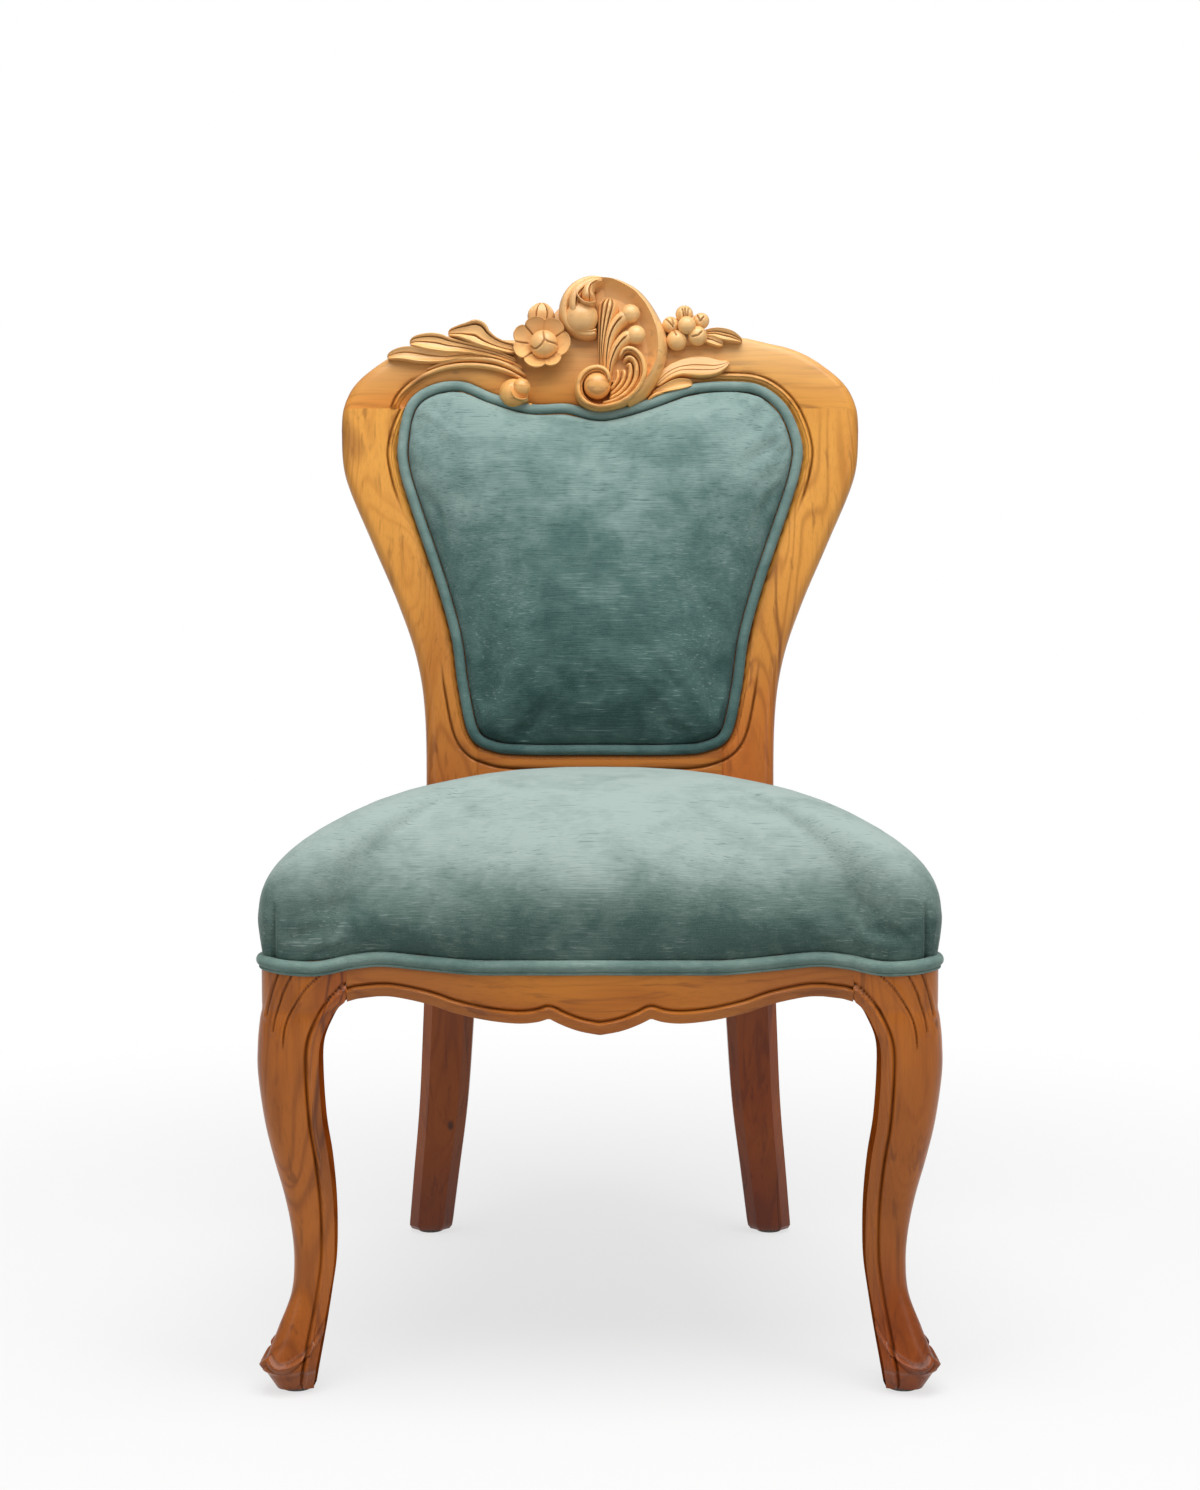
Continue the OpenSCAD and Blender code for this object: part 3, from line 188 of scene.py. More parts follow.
LOBE_V, DIP_V = 487.5, 457.5
TOP_X = SHOULDER_X - STILE_TOP_W
pad_sides = [(edge_x(v) - stile_w(v), v) for v in
             (mix(PAD_LOW_V, SHOULDER_V, t) for t in (0.2, 0.35, 0.5, 0.63, 0.75, 0.86, 0.95))]
pad_corner = edge_x(PAD_LOW_V) - stile_w(PAD_LOW_V)
pad_bottom = [(0.5 * pad_corner, PAD_LOW_V), (0.76 * pad_corner, PAD_LOW_V + 3.5),
              (0.93 * pad_corner, PAD_LOW_V + 19)]
RIGHT_TOP = [(0.93, 0.1), (0.8, 0.85), (0.63, 1), (0.43, 0.88), (0.22, 0.36), (0.01, 0)]
LEFT_TOP = [(-0.16, 0.24), (-0.34, 0.23), (-0.52, 0.57), (-0.68, 1), (-0.84, 0.86), (-0.955, 0.22)]
pad_top = [(TOP_X * a, mix(DIP_V, LOBE_V, b)) for a, b in RIGHT_TOP + LEFT_TOP]
pad_outline = evenly(spline(
    [(0, PAD_LOW_V)] + pad_bottom + pad_sides + pad_top
    + [(-x, v) for x, v in reversed(pad_sides)] + [(-x, v) for x, v in reversed(pad_bottom)],
    10, closed=True), 420, closed=True)
print("pad opening:", np.ptp(pad_outline, axis=0).round(), "mm")

# %% [markdown]
# Carved and moulded wood is a skin of sections. Each piece starts as a grid primitive, whose rows go
# to the piece's sections. The seam is then merged, the ends are filled and the normals turned out.

# %% A skin of sections
def alone(piece):
    """Makes one piece the only selected one, and the active one."""
    bpy.ops.object.select_all(action="DESELECT")
    piece.select_set(True)
    bpy.context.view_layer.objects.active = piece


@contextmanager
def all_edited():
    """Edit mode with the whole mesh selected, and object mode again at the end."""
    bpy.ops.object.mode_set(mode="EDIT")
    bpy.ops.mesh.select_all(action="SELECT")
    yield
    bpy.ops.object.mode_set(mode="OBJECT")


def mesh_points(piece):
    flat = np.empty(len(piece.data.vertices) * 3)
    piece.data.vertices.foreach_get("co", flat)
    return flat.reshape(-1, 3)


def set_points(piece, points):
    piece.data.vertices.foreach_set("co", np.asarray(points, float).ravel())
    piece.data.update()


def set_painted_shade(piece, painted_shade):
    """Keeps one number a point, 0 to 1, which the wood's finish reads as painted shade."""
    piece.data.attributes.new("painted_shade", "FLOAT", "POINT").data.foreach_set("value", np.ravel(painted_shade))


def skin(name, rows, loop=False, sharp=40, painted_shade=None):
    """A closed skin over sections, which may have painted shade, one number a point."""
    rows = np.asarray(rows, float)
    painted_shade = np.zeros(rows.shape[:2]) if painted_shade is None else np.asarray(painted_shade, float)
    rows, painted_shade = (np.concatenate([grid, grid[:, :1]], axis=1) for grid in (rows, painted_shade))
    if loop:
        rows, painted_shade = (np.concatenate([grid, grid[:1]], axis=0) for grid in (rows, painted_shade))
    down, across = rows.shape[0] - 1, rows.shape[1] - 1
    bpy.ops.object.select_all(action="DESELECT")
    bpy.ops.mesh.primitive_grid_add(x_subdivisions=across, y_subdivisions=down, size=2)
    piece = bpy.context.object
    piece.name = piece.data.name = name
    flat = mesh_points(piece)
    i = np.rint((flat[:, 0] + 1) / 2 * across).astype(int)
    j = np.rint((flat[:, 1] + 1) / 2 * down).astype(int)
    set_points(piece, rows[j, i])
    set_painted_shade(piece, painted_shade[j, i])
    with all_edited():
        bpy.ops.mesh.remove_doubles(threshold=0.02 * MM)
        if not loop:
            bpy.ops.mesh.fill_holes(sides=0)
            bpy.ops.mesh.select_all(action="SELECT")
        bpy.ops.mesh.normals_make_consistent(inside=False)
    bpy.ops.object.shade_smooth_by_angle(angle=math.radians(sharp))
    return piece


def joined(name, parts):
    """Several parts as one piece."""
    alone(parts[0])
    for part in parts[1:]:
        part.select_set(True)
    if len(parts) > 1:
        bpy.ops.object.join()
    parts[0].name = parts[0].data.name = name
    return parts[0]


def copied(piece, name):
    """A copy of a piece with its own mesh."""
    alone(piece)
    bpy.ops.object.duplicate()
    twin = bpy.context.object
    twin.name = twin.data.name = name
    return twin


def mirrored(piece, name):
    """A copy of a piece for the other side of the chair."""
    twin = copied(piece, name)
    with all_edited():
        bpy.ops.transform.mirror(constraint_axis=(True, False, False), center_override=(0, 0, 0))
        bpy.ops.mesh.normals_make_consistent(inside=False)
    return twin


# %% [markdown]
# Materials are node trees. The class below wraps a socket, so that maths on it reads as maths, and
# `make` adds any other node from its type, its settings and the values of its sockets.

# %% Shader maths
class Wire:
    def __init__(self, tree, socket):
        self.tree, self.socket = tree, socket

    def make(self, kind, inputs, out=0, ramp=None, **settings):
        node = self.tree.nodes.new(kind)
        for key, value in settings.items():
            setattr(node, key, value)
        if ramp:
            while len(node.color_ramp.elements) < len(ramp):
                node.color_ramp.elements.new(0.5)
            for stop, (place, colour) in zip(node.color_ramp.elements, ramp):
                stop.position, stop.color = place, (*colour, 1)
        for key, value in inputs.items():
            if isinstance(value, Wire):
                self.tree.links.new(value.socket, node.inputs[key])
            else:
                node.inputs[key].default_value = value
        return Wire(self.tree, node.outputs[out])

    def maths(self, operation, *others):
        return self.make("ShaderNodeMath", dict(enumerate((self, *others))), operation=operation)

    def __add__(self, other):
        return self.maths("ADD", other)

    def __sub__(self, other):
        return self.maths("SUBTRACT", other)

    def __rsub__(self, other):
        return self.maths("MULTIPLY", -1.0) + other

    def __mul__(self, other):
        return self.maths("MULTIPLY", other)

    def __pow__(self, other):
        return self.maths("POWER", other)

    __radd__, __rmul__ = __add__, __mul__

    def between(self, low, high):
        """0 below low, 1 above high, smooth between them."""
        return self.make("ShaderNodeMapRange", {"Value": self, "From Min": low, "From Max": high},
                         interpolation_type="SMOOTHSTEP")

    def noise(self, scale, detail=2, rough=0.5, warp=0.0):
        return self.make("ShaderNodeTexNoise", {"Vector": self, "Scale": scale, "Detail": detail,
                                                "Roughness": rough, "Distortion": warp})

    def mapped(self, scale=(1, 1, 1), turn=(0, 0, 0), move=(0, 0, 0)):
        return self.make("ShaderNodeMapping", {"Vector": self, "Location": move, "Rotation": turn,
                                               "Scale": scale})

    def colours(self, *stops):
        return self.make("ShaderNodeValToRGB", {"Fac": self}, ramp=stops)

    def tint(self, a, b, kind="MIX"):
        """Colour a where this value is 0 and b where it is 1."""
        return self.make("ShaderNodeMix", {0: self, 6: a, 7: b}, out=2, data_type="RGBA", blend_type=kind)


def rgb(r, g, b):
    """A colour as it is seen on a screen, in the linear values that a shader takes."""
    return tuple((c / 255 / 12.92) if c < 10 else ((c / 255 + 0.055) / 1.055) ** 2.4 for c in (r, g, b))


def rgba(r, g, b):
    return (*rgb(r, g, b), 1)


def new_finish(name, **constant):
    """A new material: its object coordinates, its shader node and a call that links a value to it."""
    material = bpy.data.materials.new(name)
    material.use_nodes = True
    tree = material.node_tree
    shader = tree.nodes["Principled BSDF"]
    for key, value in constant.items():
        shader.inputs[key.replace("_", " ")].default_value = value
    place = Wire(tree, tree.nodes.new("ShaderNodeTexCoord").outputs["Object"])

    def to(key, wire):
        tree.links.new(wire.socket, shader.inputs[key])

    return material, place, to


def rough_surface(place, height, strength, distance):
    return place.make("ShaderNodeBump", {"Height": height, "Strength": strength, "Distance": distance})


# %% [markdown]
# The wood is a honey-coloured hardwood under a clear gloss. Its growth lines are the contours of a
# noise that is stretched along the grain. Long dark veins, fine pores and a few knots go over them.
# Every board gets its own grain direction and place in the noise, as boards from one tree have.

# %% Wood finish
GRAIN_UP, GRAIN_ACROSS, GRAIN_BACK = (0, 0, 0), (0, math.pi / 2, 0), (math.pi / 2, 0, 0)


def wood(name, turn, seed, light, middle, dark, gloss=0.2, stained_and_shaded_below=False, painted_shade_strength=0.8):
    """One board, made paler near the crest as a painted highlight and darker at the feet as painted shade.
    The back's boards darken downwards too, a darker stain with painted shade under the seat.
    """
    material, place, to = new_finish(name, Coat_Roughness=0.14, IOR=1.5, Specular_IOR_Level=0.25)
    board = place.mapped(turn=turn, move=(seed * 0.37, seed * 0.61, seed * 0.23))
    tone = board.mapped(scale=(1, 1, 0.2)).noise(16, 3, 0.5, 0.3)
    figure = board.mapped(scale=(1, 1, 0.13)).noise(11, 2, 0.45, 0.4)
    growth = (figure * 120 + board.mapped(scale=(1, 1, 0.1)).noise(60, 2) * 2).maths("SINE")
    lines = (growth * 0.5 + 0.5) ** 4
    streak = board.mapped(scale=(1, 1, 0.055)).noise(105, 3, 0.55, 0.6).between(0.56, 0.7)
    fibre = board.mapped(scale=(1, 1, 0.03)).noise(560, 3, 0.6)
    vein = board.mapped(scale=(1, 1, 0.12)).noise(9, 2, 0.5, 0.7)
    veins = 1 - (vein - 0.5).maths("ABSOLUTE").between(0.0, 0.014)
    gate = board.noise(6, 1).between(0.42, 0.62)
    knots = 1 - board.make("ShaderNodeTexVoronoi", {
        "Vector": board.mapped(scale=(1, 1, 0.6)), "Scale": 15.0}).between(0.02, 0.075)
    painted_shade = place.make("ShaderNodeAttribute", {}, out="Fac", attribute_name="painted_shade")
    height = place.make("ShaderNodeSeparateXYZ", {"Vector": place}, out=2)
    colour = tone.colours((0.3, middle), (0.52, light), (0.74, tuple(c * 1.12 for c in light)))
    colour = (lines * 0.34).tint(colour, (*middle, 1))
    colour = (lines * gate * 0.22).tint(colour, (*dark, 1))
    colour = (streak * 0.42).tint(colour, (*dark, 1))
    colour = (veins * gate * 0.7).tint(colour, (*dark, 1))
    colour = (knots * 0.8).tint(colour, (*(c * 0.35 for c in dark), 1))
    colour = (fibre.between(0.45, 0.75) * 0.16).tint(colour, (*dark, 1))
    blush = board.mapped(scale=(1, 1, 0.4)).noise(8, 2, 0.5, 0.3).between(0.48, 0.66)
    colour = (blush * 0.5).tint(colour, (1.0, 0.68, 0.42, 1), "MULTIPLY")
    # Painted highlight: paler wood near the crest, where the light from above falls
    colour = (height.between(0.83, 0.92) * 0.5).tint(colour, rgba(242, 206, 150))
    if name == "wood_front_seat_rail":
        aside = place.make("ShaderNodeSeparateXYZ", {"Vector": place}, out=0).maths("ABSOLUTE")
        colour = aside.between(0.04, 0.16).tint(colour, (0.7, 0.64, 0.9, 1), "MULTIPLY")
    # Painted shade: darker wood near the floor
    colour = (1 - height.between(0.02, 0.13)).tint(colour, (0.66, 0.56, 0.52, 1), "MULTIPLY")
    # The back's boards: a darker stain lower down, with painted shade under the seat
    if stained_and_shaded_below:
        colour = (1 - height.between(0.3, 0.82)).tint(colour, (0.48, 0.24, 0.12, 1), "MULTIPLY")
    # Painted shade, read from each piece's attribute: darker in grooves, slits, creases and where carved
    # parts meet
    colour = (painted_shade * painted_shade_strength).tint(colour, (*(c * (0.5 if painted_shade_strength < 0.8 else 0.3) for c in dark), 1))
    to("Base Color", colour)
    to("Roughness", 0.36 + fibre * 0.14 + painted_shade * 0.2)
    to("Coat Weight", (gloss + tone * 0.12) * (1 - painted_shade * 0.8))
    to("Normal", rough_surface(place, fibre * 0.5 - lines * 0.2, 0.1, 0.0006))
    return material


HONEY = (rgb(226, 158, 68), rgb(200, 126, 46), rgb(120, 62, 22))
# The carving's tones are paler than the crest's it is cut from: a painted highlight on its raised forms
CARVED_WITH_HIGHLIGHT = (rgb(240, 178, 98), rgb(222, 148, 68), rgb(148, 80, 34))
AMBER = (rgb(212, 130, 42), rgb(182, 100, 26), rgb(96, 42, 12))
BROWN = (rgb(192, 108, 32), rgb(160, 84, 20), rgb(82, 36, 10))
WOODS = {
    "left_back_post": (GRAIN_UP, 1.3, HONEY), "right_back_post": (GRAIN_UP, 4.1, HONEY),
    "crest_rail": (GRAIN_ACROSS, 2.2, HONEY), "lower_back_rail": (GRAIN_ACROSS, 5.3, HONEY),
    "carving": (GRAIN_ACROSS, 7.7, CARVED_WITH_HIGHLIGHT), "front_seat_rail": (GRAIN_ACROSS, 3.4, AMBER),
    "front_left_leg": (GRAIN_UP, 6.2, BROWN), "front_right_leg": (GRAIN_UP, 8.6, BROWN),
    "left_seat_rail": (GRAIN_BACK, 9.1, BROWN), "right_seat_rail": (GRAIN_BACK, 10.4, BROWN),
    "rear_seat_rail": (GRAIN_ACROSS, 11.8, BROWN),
}
finishes = {name: wood("wood_" + name, turn, seed, *tones, gloss=0.5 if tones is CARVED_WITH_HIGHLIGHT else 0.2,
                       stained_and_shaded_below=tones is HONEY, painted_shade_strength=0.68 if tones is CARVED_WITH_HIGHLIGHT else 0.85)
            for name, (turn, seed, tones) in WOODS.items()}
print("boards:", len(finishes))


def dress(piece, node, material, *more):
    """A finished piece takes its material, rides on the chair and stands for its CAD nodes."""
    piece.data.materials.clear()
    piece.data.materials.append(material)
    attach(piece, "root")
    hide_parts(node, *more)
    print(piece.name, len(piece.data.polygons), "faces")
    return piece


def both_sides(piece, node):
    """Dresses a right-hand piece, and its mirrored twin for the left."""
    twin = mirrored(piece, piece.name.replace("right", "left"))
    dress(piece, node, finishes[node])
    other = node.replace("right", "left")
    dress(twin, other, finishes[other])


# %% [markdown]
# The velvet is a brushed teal pile. Hands and light leave pale and dark patches in it, with fine
# horizontal strokes, and its edges glow a little, which the shader's sheen gives.

# %% Velvet finish
def velvet(name, dark, middle, light, low, high, streaks=1.0, sheen=0.7):
    """Velvet with painted shade below one height and painted light above another."""
    material, place, to = new_finish(name, Sheen_Weight=sheen, Sheen_Roughness=0.35,
                                     Sheen_Tint=rgba(214, 226, 222), Specular_IOR_Level=0.2)
    height = place.make("ShaderNodeSeparateXYZ", {"Vector": place}, out=2)
    patches = place.mapped(scale=(1, 1.3, 1.3)).noise(17, 4, 0.6, 0.4)
    clouds = place.noise(48, 3, 0.6, 0.6)
    strokes = place.mapped(scale=(0.055, 0.8, 1)).noise(640, 2, 0.5, 0.25)
    short = place.mapped(scale=(0.09, 0.8, 1)).noise(900, 2, 0.55, 0.4)
    pile = place.noise(1700, 2, 0.6)
    # The height term is painted light: darker lower faces and paler upper ones, as the light from above falls
    tone = patches * 0.42 + clouds * 0.2 + height.between(low, high) * 0.34 + short * 0.14 - 0.05
    colour = tone.colours((0.3, dark), (0.47, middle), (0.68, light))
    brushed = strokes.between(0.6, 0.7) * patches.between(0.35, 0.6) * 0.6 * streaks
    colour = brushed.tint(colour, (*light, 1))
    colour = ((1 - strokes.between(0.3, 0.39)) * 0.45 * streaks).tint(colour, (*dark, 1))
    colour = (pile.between(0.45, 0.8) * 0.3).tint(colour, (*light, 1))
    to("Base Color", colour)
    to("Roughness", 0.8 + pile * 0.18)
    to("Normal", rough_surface(place, strokes * streaks + short * 0.5 + pile * 0.3, 0.4, 0.0012))
    return material


velvet_back = velvet(
    "velvet_back", rgb(46, 76, 73), rgb(84, 113, 108), rgb(138, 161, 156), 0.46, 0.92, sheen=0.28)
# The seat has the same cloth as the back, in paler tones that paint in the light on its top
seat_velvet_painted_light = velvet(
    "seat_velvet_painted_light", rgb(70, 96, 90), rgb(114, 136, 128), rgb(160, 176, 171), 0.375, 0.465, 0.8, 0.5)
velvet_welt = velvet(
    "velvet_welt", rgb(58, 88, 86), rgb(92, 120, 116), rgb(136, 158, 152), 0.4, 0.95, 0.3, 0.3)
# The seat welts have the same cloth as the back welt, in paler tones that paint light into the shade under
# the seat's edge
seat_welt_velvet_painted_light = velvet(
    "seat_welt_velvet_painted_light", rgb(88, 118, 112), rgb(124, 150, 142), rgb(174, 192, 184), 0.2, 0.7, 0.4)
print("velvets:", velvet_back.name, seat_velvet_painted_light.name, velvet_welt.name, seat_welt_velvet_painted_light.name)

# %% [markdown]
# The back's front face carries a bead with a groove outside it, parallel to the pad. It runs round the
# lower corners and round both shoulders and fades between them. The height of the face at any point
# therefore comes from its distance to the pad's opening.

# %% Moulding of the back's face
def hump(d, middle, half):
    """A round bead: 1 at its middle, 0 from half away."""
    return np.sqrt(np.clip(1 - ((d - middle) / half) ** 2, 0, 1))


def groove(d, middle, half):
    """A narrow groove: 1 at its middle, 0 from half away."""
    return np.clip(1 - np.abs(d - middle) / half, 0, 1) ** 1.5


RIGHT_BEAD, LEFT_BEAD, BEAD_W, GROOVE_D = 5.4, 9.4, 6, 2.4
BEAD_FROM_V, BEAD_OVER_V, RIGHT_END_X, LEFT_END_X = 345, 445, 95, 165
CORNER_V, CORNER_BEAD, CORNER_GROOVE = 165, 6, 13.5


def moulding(points):
    """Relief of the face and the painted shade in its grooves and along the pad's opening."""
    points = np.asarray(points, float)
    d = line_distance(points, pad_outline)
    x, v = points.T
    high = np.array([ease((h - BEAD_FROM_V) / 40) for h in v])
    middle = np.array([ease((a - RIGHT_END_X) / 35) if a > 0 else ease((-a - LEFT_END_X) / 35) for a in x])
    high *= np.where(v > BEAD_OVER_V, middle, 1)
    low = np.array([1 - ease((h - CORNER_V) / 50) for h in v])
    bead_at = np.where(x > 0, RIGHT_BEAD, LEFT_BEAD)
    groove_at = bead_at + BEAD_W / 2 + 1.2
    upper = hump(d, bead_at, BEAD_W / 2) * 2.2 - groove(d, groove_at, 2.0) * GROOVE_D - 1.6 * (d < bead_at)
    lower = hump(d, CORNER_BEAD, 6.5) * 1.8 - groove(d, CORNER_GROOVE, 2.2) * GROOVE_D - 1.2 * (d < 4)
    plain = -2.5 * np.exp(-d / 4)
    painted_shade = high * groove(d, groove_at, 2.0) + low * groove(d, CORNER_GROOVE, 2.2)
    # Painted shade next to the pad's opening, where the wood meets the welt
    painted_shade = painted_shade + np.clip(1 - d / 2.5, 0, 1)
    return np.array([high * upper + low * lower + (1 - high) * (1 - low) * plain, np.clip(painted_shade, 0, 1)])


# %% [markdown]
# A section of the back frame runs from the pad's side over the front face, round the outer edge and
# back. The same helper serves posts, crest and lower rail, so their faces meet without a step. Behind
# the pad's hem a ledge reaches inwards, and no light gets through there.

# %% Sections of the back frame
LEDGE, LEDGE_LIP, LEDGE_REAR, REBATE = 24, 4, 6 - BACK_T, -9.2


def frame_section(inner, outer, round_front, round_rear, crown=2.0, ledge=LEDGE):
    """Points of one section, each as x, v, w and painted shade: the face, then the outer edge, rear and
    ledge.
    """
    inner, outer = np.array(inner, float), np.array(outer, float)
    width = np.linalg.norm(outer - inner)
    reach = width - round_front
    near = np.linspace(0, min(18, reach * 0.6), 25)
    far = np.linspace(near[-1], reach, 10)[1:]
    face = np.concatenate([near, far])
    turn = np.linspace(0, math.pi / 2, 9)[1:]
    front = np.concatenate([face, reach + round_front * np.sin(turn)])
    drop = np.concatenate([np.zeros(len(face)), -round_front * (1 - np.cos(turn))])
    share = np.clip(front / width, 0, 1)
    drop = drop - crown * (1 - np.sin(math.pi * share) ** 0.8)
    turn_back = np.linspace(0, math.pi / 2, 6)
    rear = width - round_rear * (1 - np.cos(turn_back))
    rear_w = -BACK_T + round_rear * (1 - np.sin(turn_back))
    lip = min(LEDGE_LIP, ledge)
    across = np.concatenate([front, rear, [width * 0.5, 1 - lip, -lip, -lip, -ledge, -ledge, 0]])
    w = np.concatenate([drop, rear_w, [-BACK_T, -BACK_T, 1 - BACK_T, LEDGE_REAR, LEDGE_REAR, REBATE, REBATE]])
    points = inner + (outer - inner) * (across / width)[:, None]
    relief, painted_shade = moulding(points[:len(front)]) * np.clip((width - front) / 8, 0, 1)
    w[:len(front)] += relief
    return np.column_stack([points, w, np.concatenate([painted_shade, np.zeros(len(w) - len(painted_shade))])])


def on_back_with_painted_shade(sections):
    """Sections of a back piece as places in metres, and their painted shade."""
    sections = np.asarray(sections)
    return on_back(sections[..., :3]), sections[..., 3]


SECTION_POINTS = len(frame_section((130, 200), (180, 200), 9, 6))
print("section points:", SECTION_POINTS)

# %% [markdown]
# A back post is one board from the floor to the shoulder. Its lower part is a raked leg with wide
# chamfers, so its sections are turned level there, and lean with the back above the seat.

# %% Back posts
REAR_FOOT_X, REAR_FOOT_W, REAR_RAKE = 194, 43, 56
STRAIGHT_Z, GLIDE_T = 318, 3
RAKE = spline([(1, 0, 0), (0.7, 0.1, 2), (0.47, 0.34, 1), (0.24, 0.66, 0), (0, 1, -2)], 6)[::-1]
SPLAY = spline([(0, 1), (0.19, 0.74), (0.44, 0.4), (0.71, 0.18), (1, 0)], 6)


def pad_edge_x(v):
    """Inner edge of a post: the pad's opening, or the joint with the lower rail below it."""
    right = pad_outline[(pad_outline[:, 0] > POST_IN - 4) & (pad_outline[:, 1] < 474)]
    right = right[np.argsort(right[:, 1])]
    return max(POST_IN, float(np.interp(v, right[:, 1], right[:, 0], left=POST_IN)))


def leg_section(x0, x1, depth, cut):
    """The eight corners of a chamfered square section, as x and w."""
    corners = [(x0, 0), (x1, 0), (x1, -depth), (x0, -depth)]
    path = []
    for k, corner in enumerate(corners):
        before, after = np.array(corners[k - 1]), np.array(corners[(k + 1) % 4])
        corner = np.array(corner)
        for to in (before, after):
            step = (to - corner) / np.linalg.norm(to - corner)
            path.append(corner + step * cut)
    return np.array(path[1:] + path[:1])


def evenly_between(ring):
    """The corners of a leg's section, joined by as many points as a frame section has."""
    spans = [np.linspace(ring[k], ring[k + 1], count, endpoint=False)
             for k, count in enumerate((34, 8, 3, 3))]
    return np.vstack(spans + [[mix(ring[4], ring[5], 0.5), ring[5]], np.linspace(ring[6], ring[7], 5)])


def back_post_rows():
    """Sections of the leg, level at the foot and tilted near the seat, then sections of the back."""
    rows = []
    heights = [np.linspace(0, 90, 12), np.linspace(92, 150, 60), np.linspace(152, JOINT_V, 120)]
    for v in np.concatenate(heights):
        inner, outer = (pad_edge_x(v), v), (edge_x(v), v)
        blend = ease(v / 90)
        ledge = min(LEDGE, inner[0] - POST_IN + max(0, v - PAD_LOW_V - 38))
        rows.append(frame_section(inner, outer, mix(9, 11, blend), mix(9, 7, blend), ledge=ledge))
    upper, painted_shade = on_back_with_painted_shade(rows)
    lower = []
    for z in np.concatenate([np.linspace(GLIDE_T, 24, 6), np.linspace(30, SEAT_TOP - 16, 60)]):
        h = (z - GLIDE_T) / (STRAIGHT_Z - GLIDE_T)
        rake = np.interp(h, RAKE[:, 0], RAKE[:, 1])
        thick = BACK_T + np.interp(h, RAKE[:, 0], RAKE[:, 2])
        splay = np.interp(h, SPLAY[:, 0], SPLAY[:, 1])
        x1, x0 = mix(POST_X, REAR_FOOT_X, splay), mix(POST_IN, REAR_FOOT_X - REAR_FOOT_W, splay)
        tuck = 2.5 * (1 - ease((z - GLIDE_T) / 5))
        ring = leg_section(x0 + tuck, x1 - tuck, thick - 2 * tuck, mix(9, 6, ease((z - 250) / 90)))
        ring = evenly_between(ring)
        tilt = LEAN * ease((z - 260) / 110)
        y = SEAT_D + REAR_RAKE * rake + tuck - ring[:, 1] * math.cos(tilt)
        lower.append(on_floor_plan(np.column_stack([ring[:, 0], y, z + ring[:, 1] * math.sin(tilt)])))
    return np.concatenate([lower, upper]), np.concatenate([np.zeros((len(lower), SECTION_POINTS)), painted_shade])


rows, painted_shade = back_post_rows()
both_sides(skin("right_back_post_wood", rows, sharp=32, painted_shade=painted_shade), "right_back_post")

# %% [markdown]
# The crest rail joins the posts at the shoulders. Its sections fan out from the pad's lobes to the
# crest's top, where the carving stands.

# %% Crest rail
CREST_COUNT = 190
CREST_TOP = [(0.9, 0.06), (0.77, 0.15), (0.6, 0.17), (0.42, 0.22), (0.32, 0.45), (0.22, 0.85), (0.06, 1),
             (-0.08, 0.98), (-0.22, 0.7), (-0.3, 0.34), (-0.42, 0.11), (-0.6, 0.12), (-0.8, 0.13)]
crest_line = [(x, v) for x, v in shoulder if v > JOINT_V]
carved_top = [(CARVED_X * a, mix(CARVED_V, CREST_V, b)) for a, b in CREST_TOP]
carved_top = list(spline([(CARVED_X, CARVED_V)] + carved_top + [(-CARVED_X, CARVED_V)], 6)[1:-1])
crest_line = ([(edge_x(JOINT_V), JOINT_V)] + crest_line + carved_top
              + [(-x, v) for x, v in reversed(crest_line)] + [(-edge_x(JOINT_V), JOINT_V)])
crest_outer = evenly(crest_line, CREST_COUNT)
for _ in range(6):
    crest_outer[4:-4] = (crest_outer[3:-5] + 2 * crest_outer[4:-4] + crest_outer[5:-3]) / 4
over = pad_outline[pad_outline[:, 1] >= JOINT_V - 8]
over = over[np.argsort(np.arctan2(over[:, 1] - 300, over[:, 0]))]
over = over[(over[:, 1] > JOINT_V) | (np.abs(over[:, 0]) < 120)]
crest_inner = evenly(np.vstack([[pad_edge_x(JOINT_V), JOINT_V], over, [-pad_edge_x(JOINT_V), JOINT_V]]),
                     CREST_COUNT)


def crest_rows():
    """Sections from shoulder to shoulder. The edges are rounder there than under the carving."""
    rows = []
    for k, (inner, outer) in enumerate(zip(crest_inner, crest_outer)):
        roundness = ease((abs(2 * k / (CREST_COUNT - 1) - 1) - 0.45) / 0.25)
        rows.append(frame_section(inner, outer, mix(4, 11, roundness), mix(4, 7, roundness)))
    return on_back_with_painted_shade(rows)


rows, painted_shade = crest_rows()
crest = skin("crest_rail_wood", rows, sharp=32, painted_shade=painted_shade)
dress(crest, "crest_rail", finishes["crest_rail"])

# %% Lower back rail
def low_rail_rows():
    """Sections from one post to the other, between the pad's lower line and a straight lower edge."""
    bottom = pad_outline[(pad_outline[:, 1] < 160) & (np.abs(pad_outline[:, 0]) < POST_IN + 8)]
    bottom = bottom[np.argsort(bottom[:, 0])]
    rows = []
    for x in np.linspace(POST_IN, -POST_IN, 200):
        top = float(np.interp(x, bottom[:, 0], bottom[:, 1]))
        rows.append(frame_section((x, top), (x, LOW_V), 4, 3, crown=0.6))
    return on_back_with_painted_shade(rows)


rows, painted_shade = low_rail_rows()
low_rail = skin("lower_back_rail_wood", rows, sharp=32, painted_shade=painted_shade)
dress(low_rail, "lower_back_rail", finishes["lower_back_rail"])

# %% [markdown]
# The front rail and the two cabriole legs read as one carved arch. A bead follows its lower edge and
# runs on down the inside of each leg. The arch is therefore one line, seen from the front, and the
# relief of rail and leg comes from the distance to that line. The sides of the chair have their own.

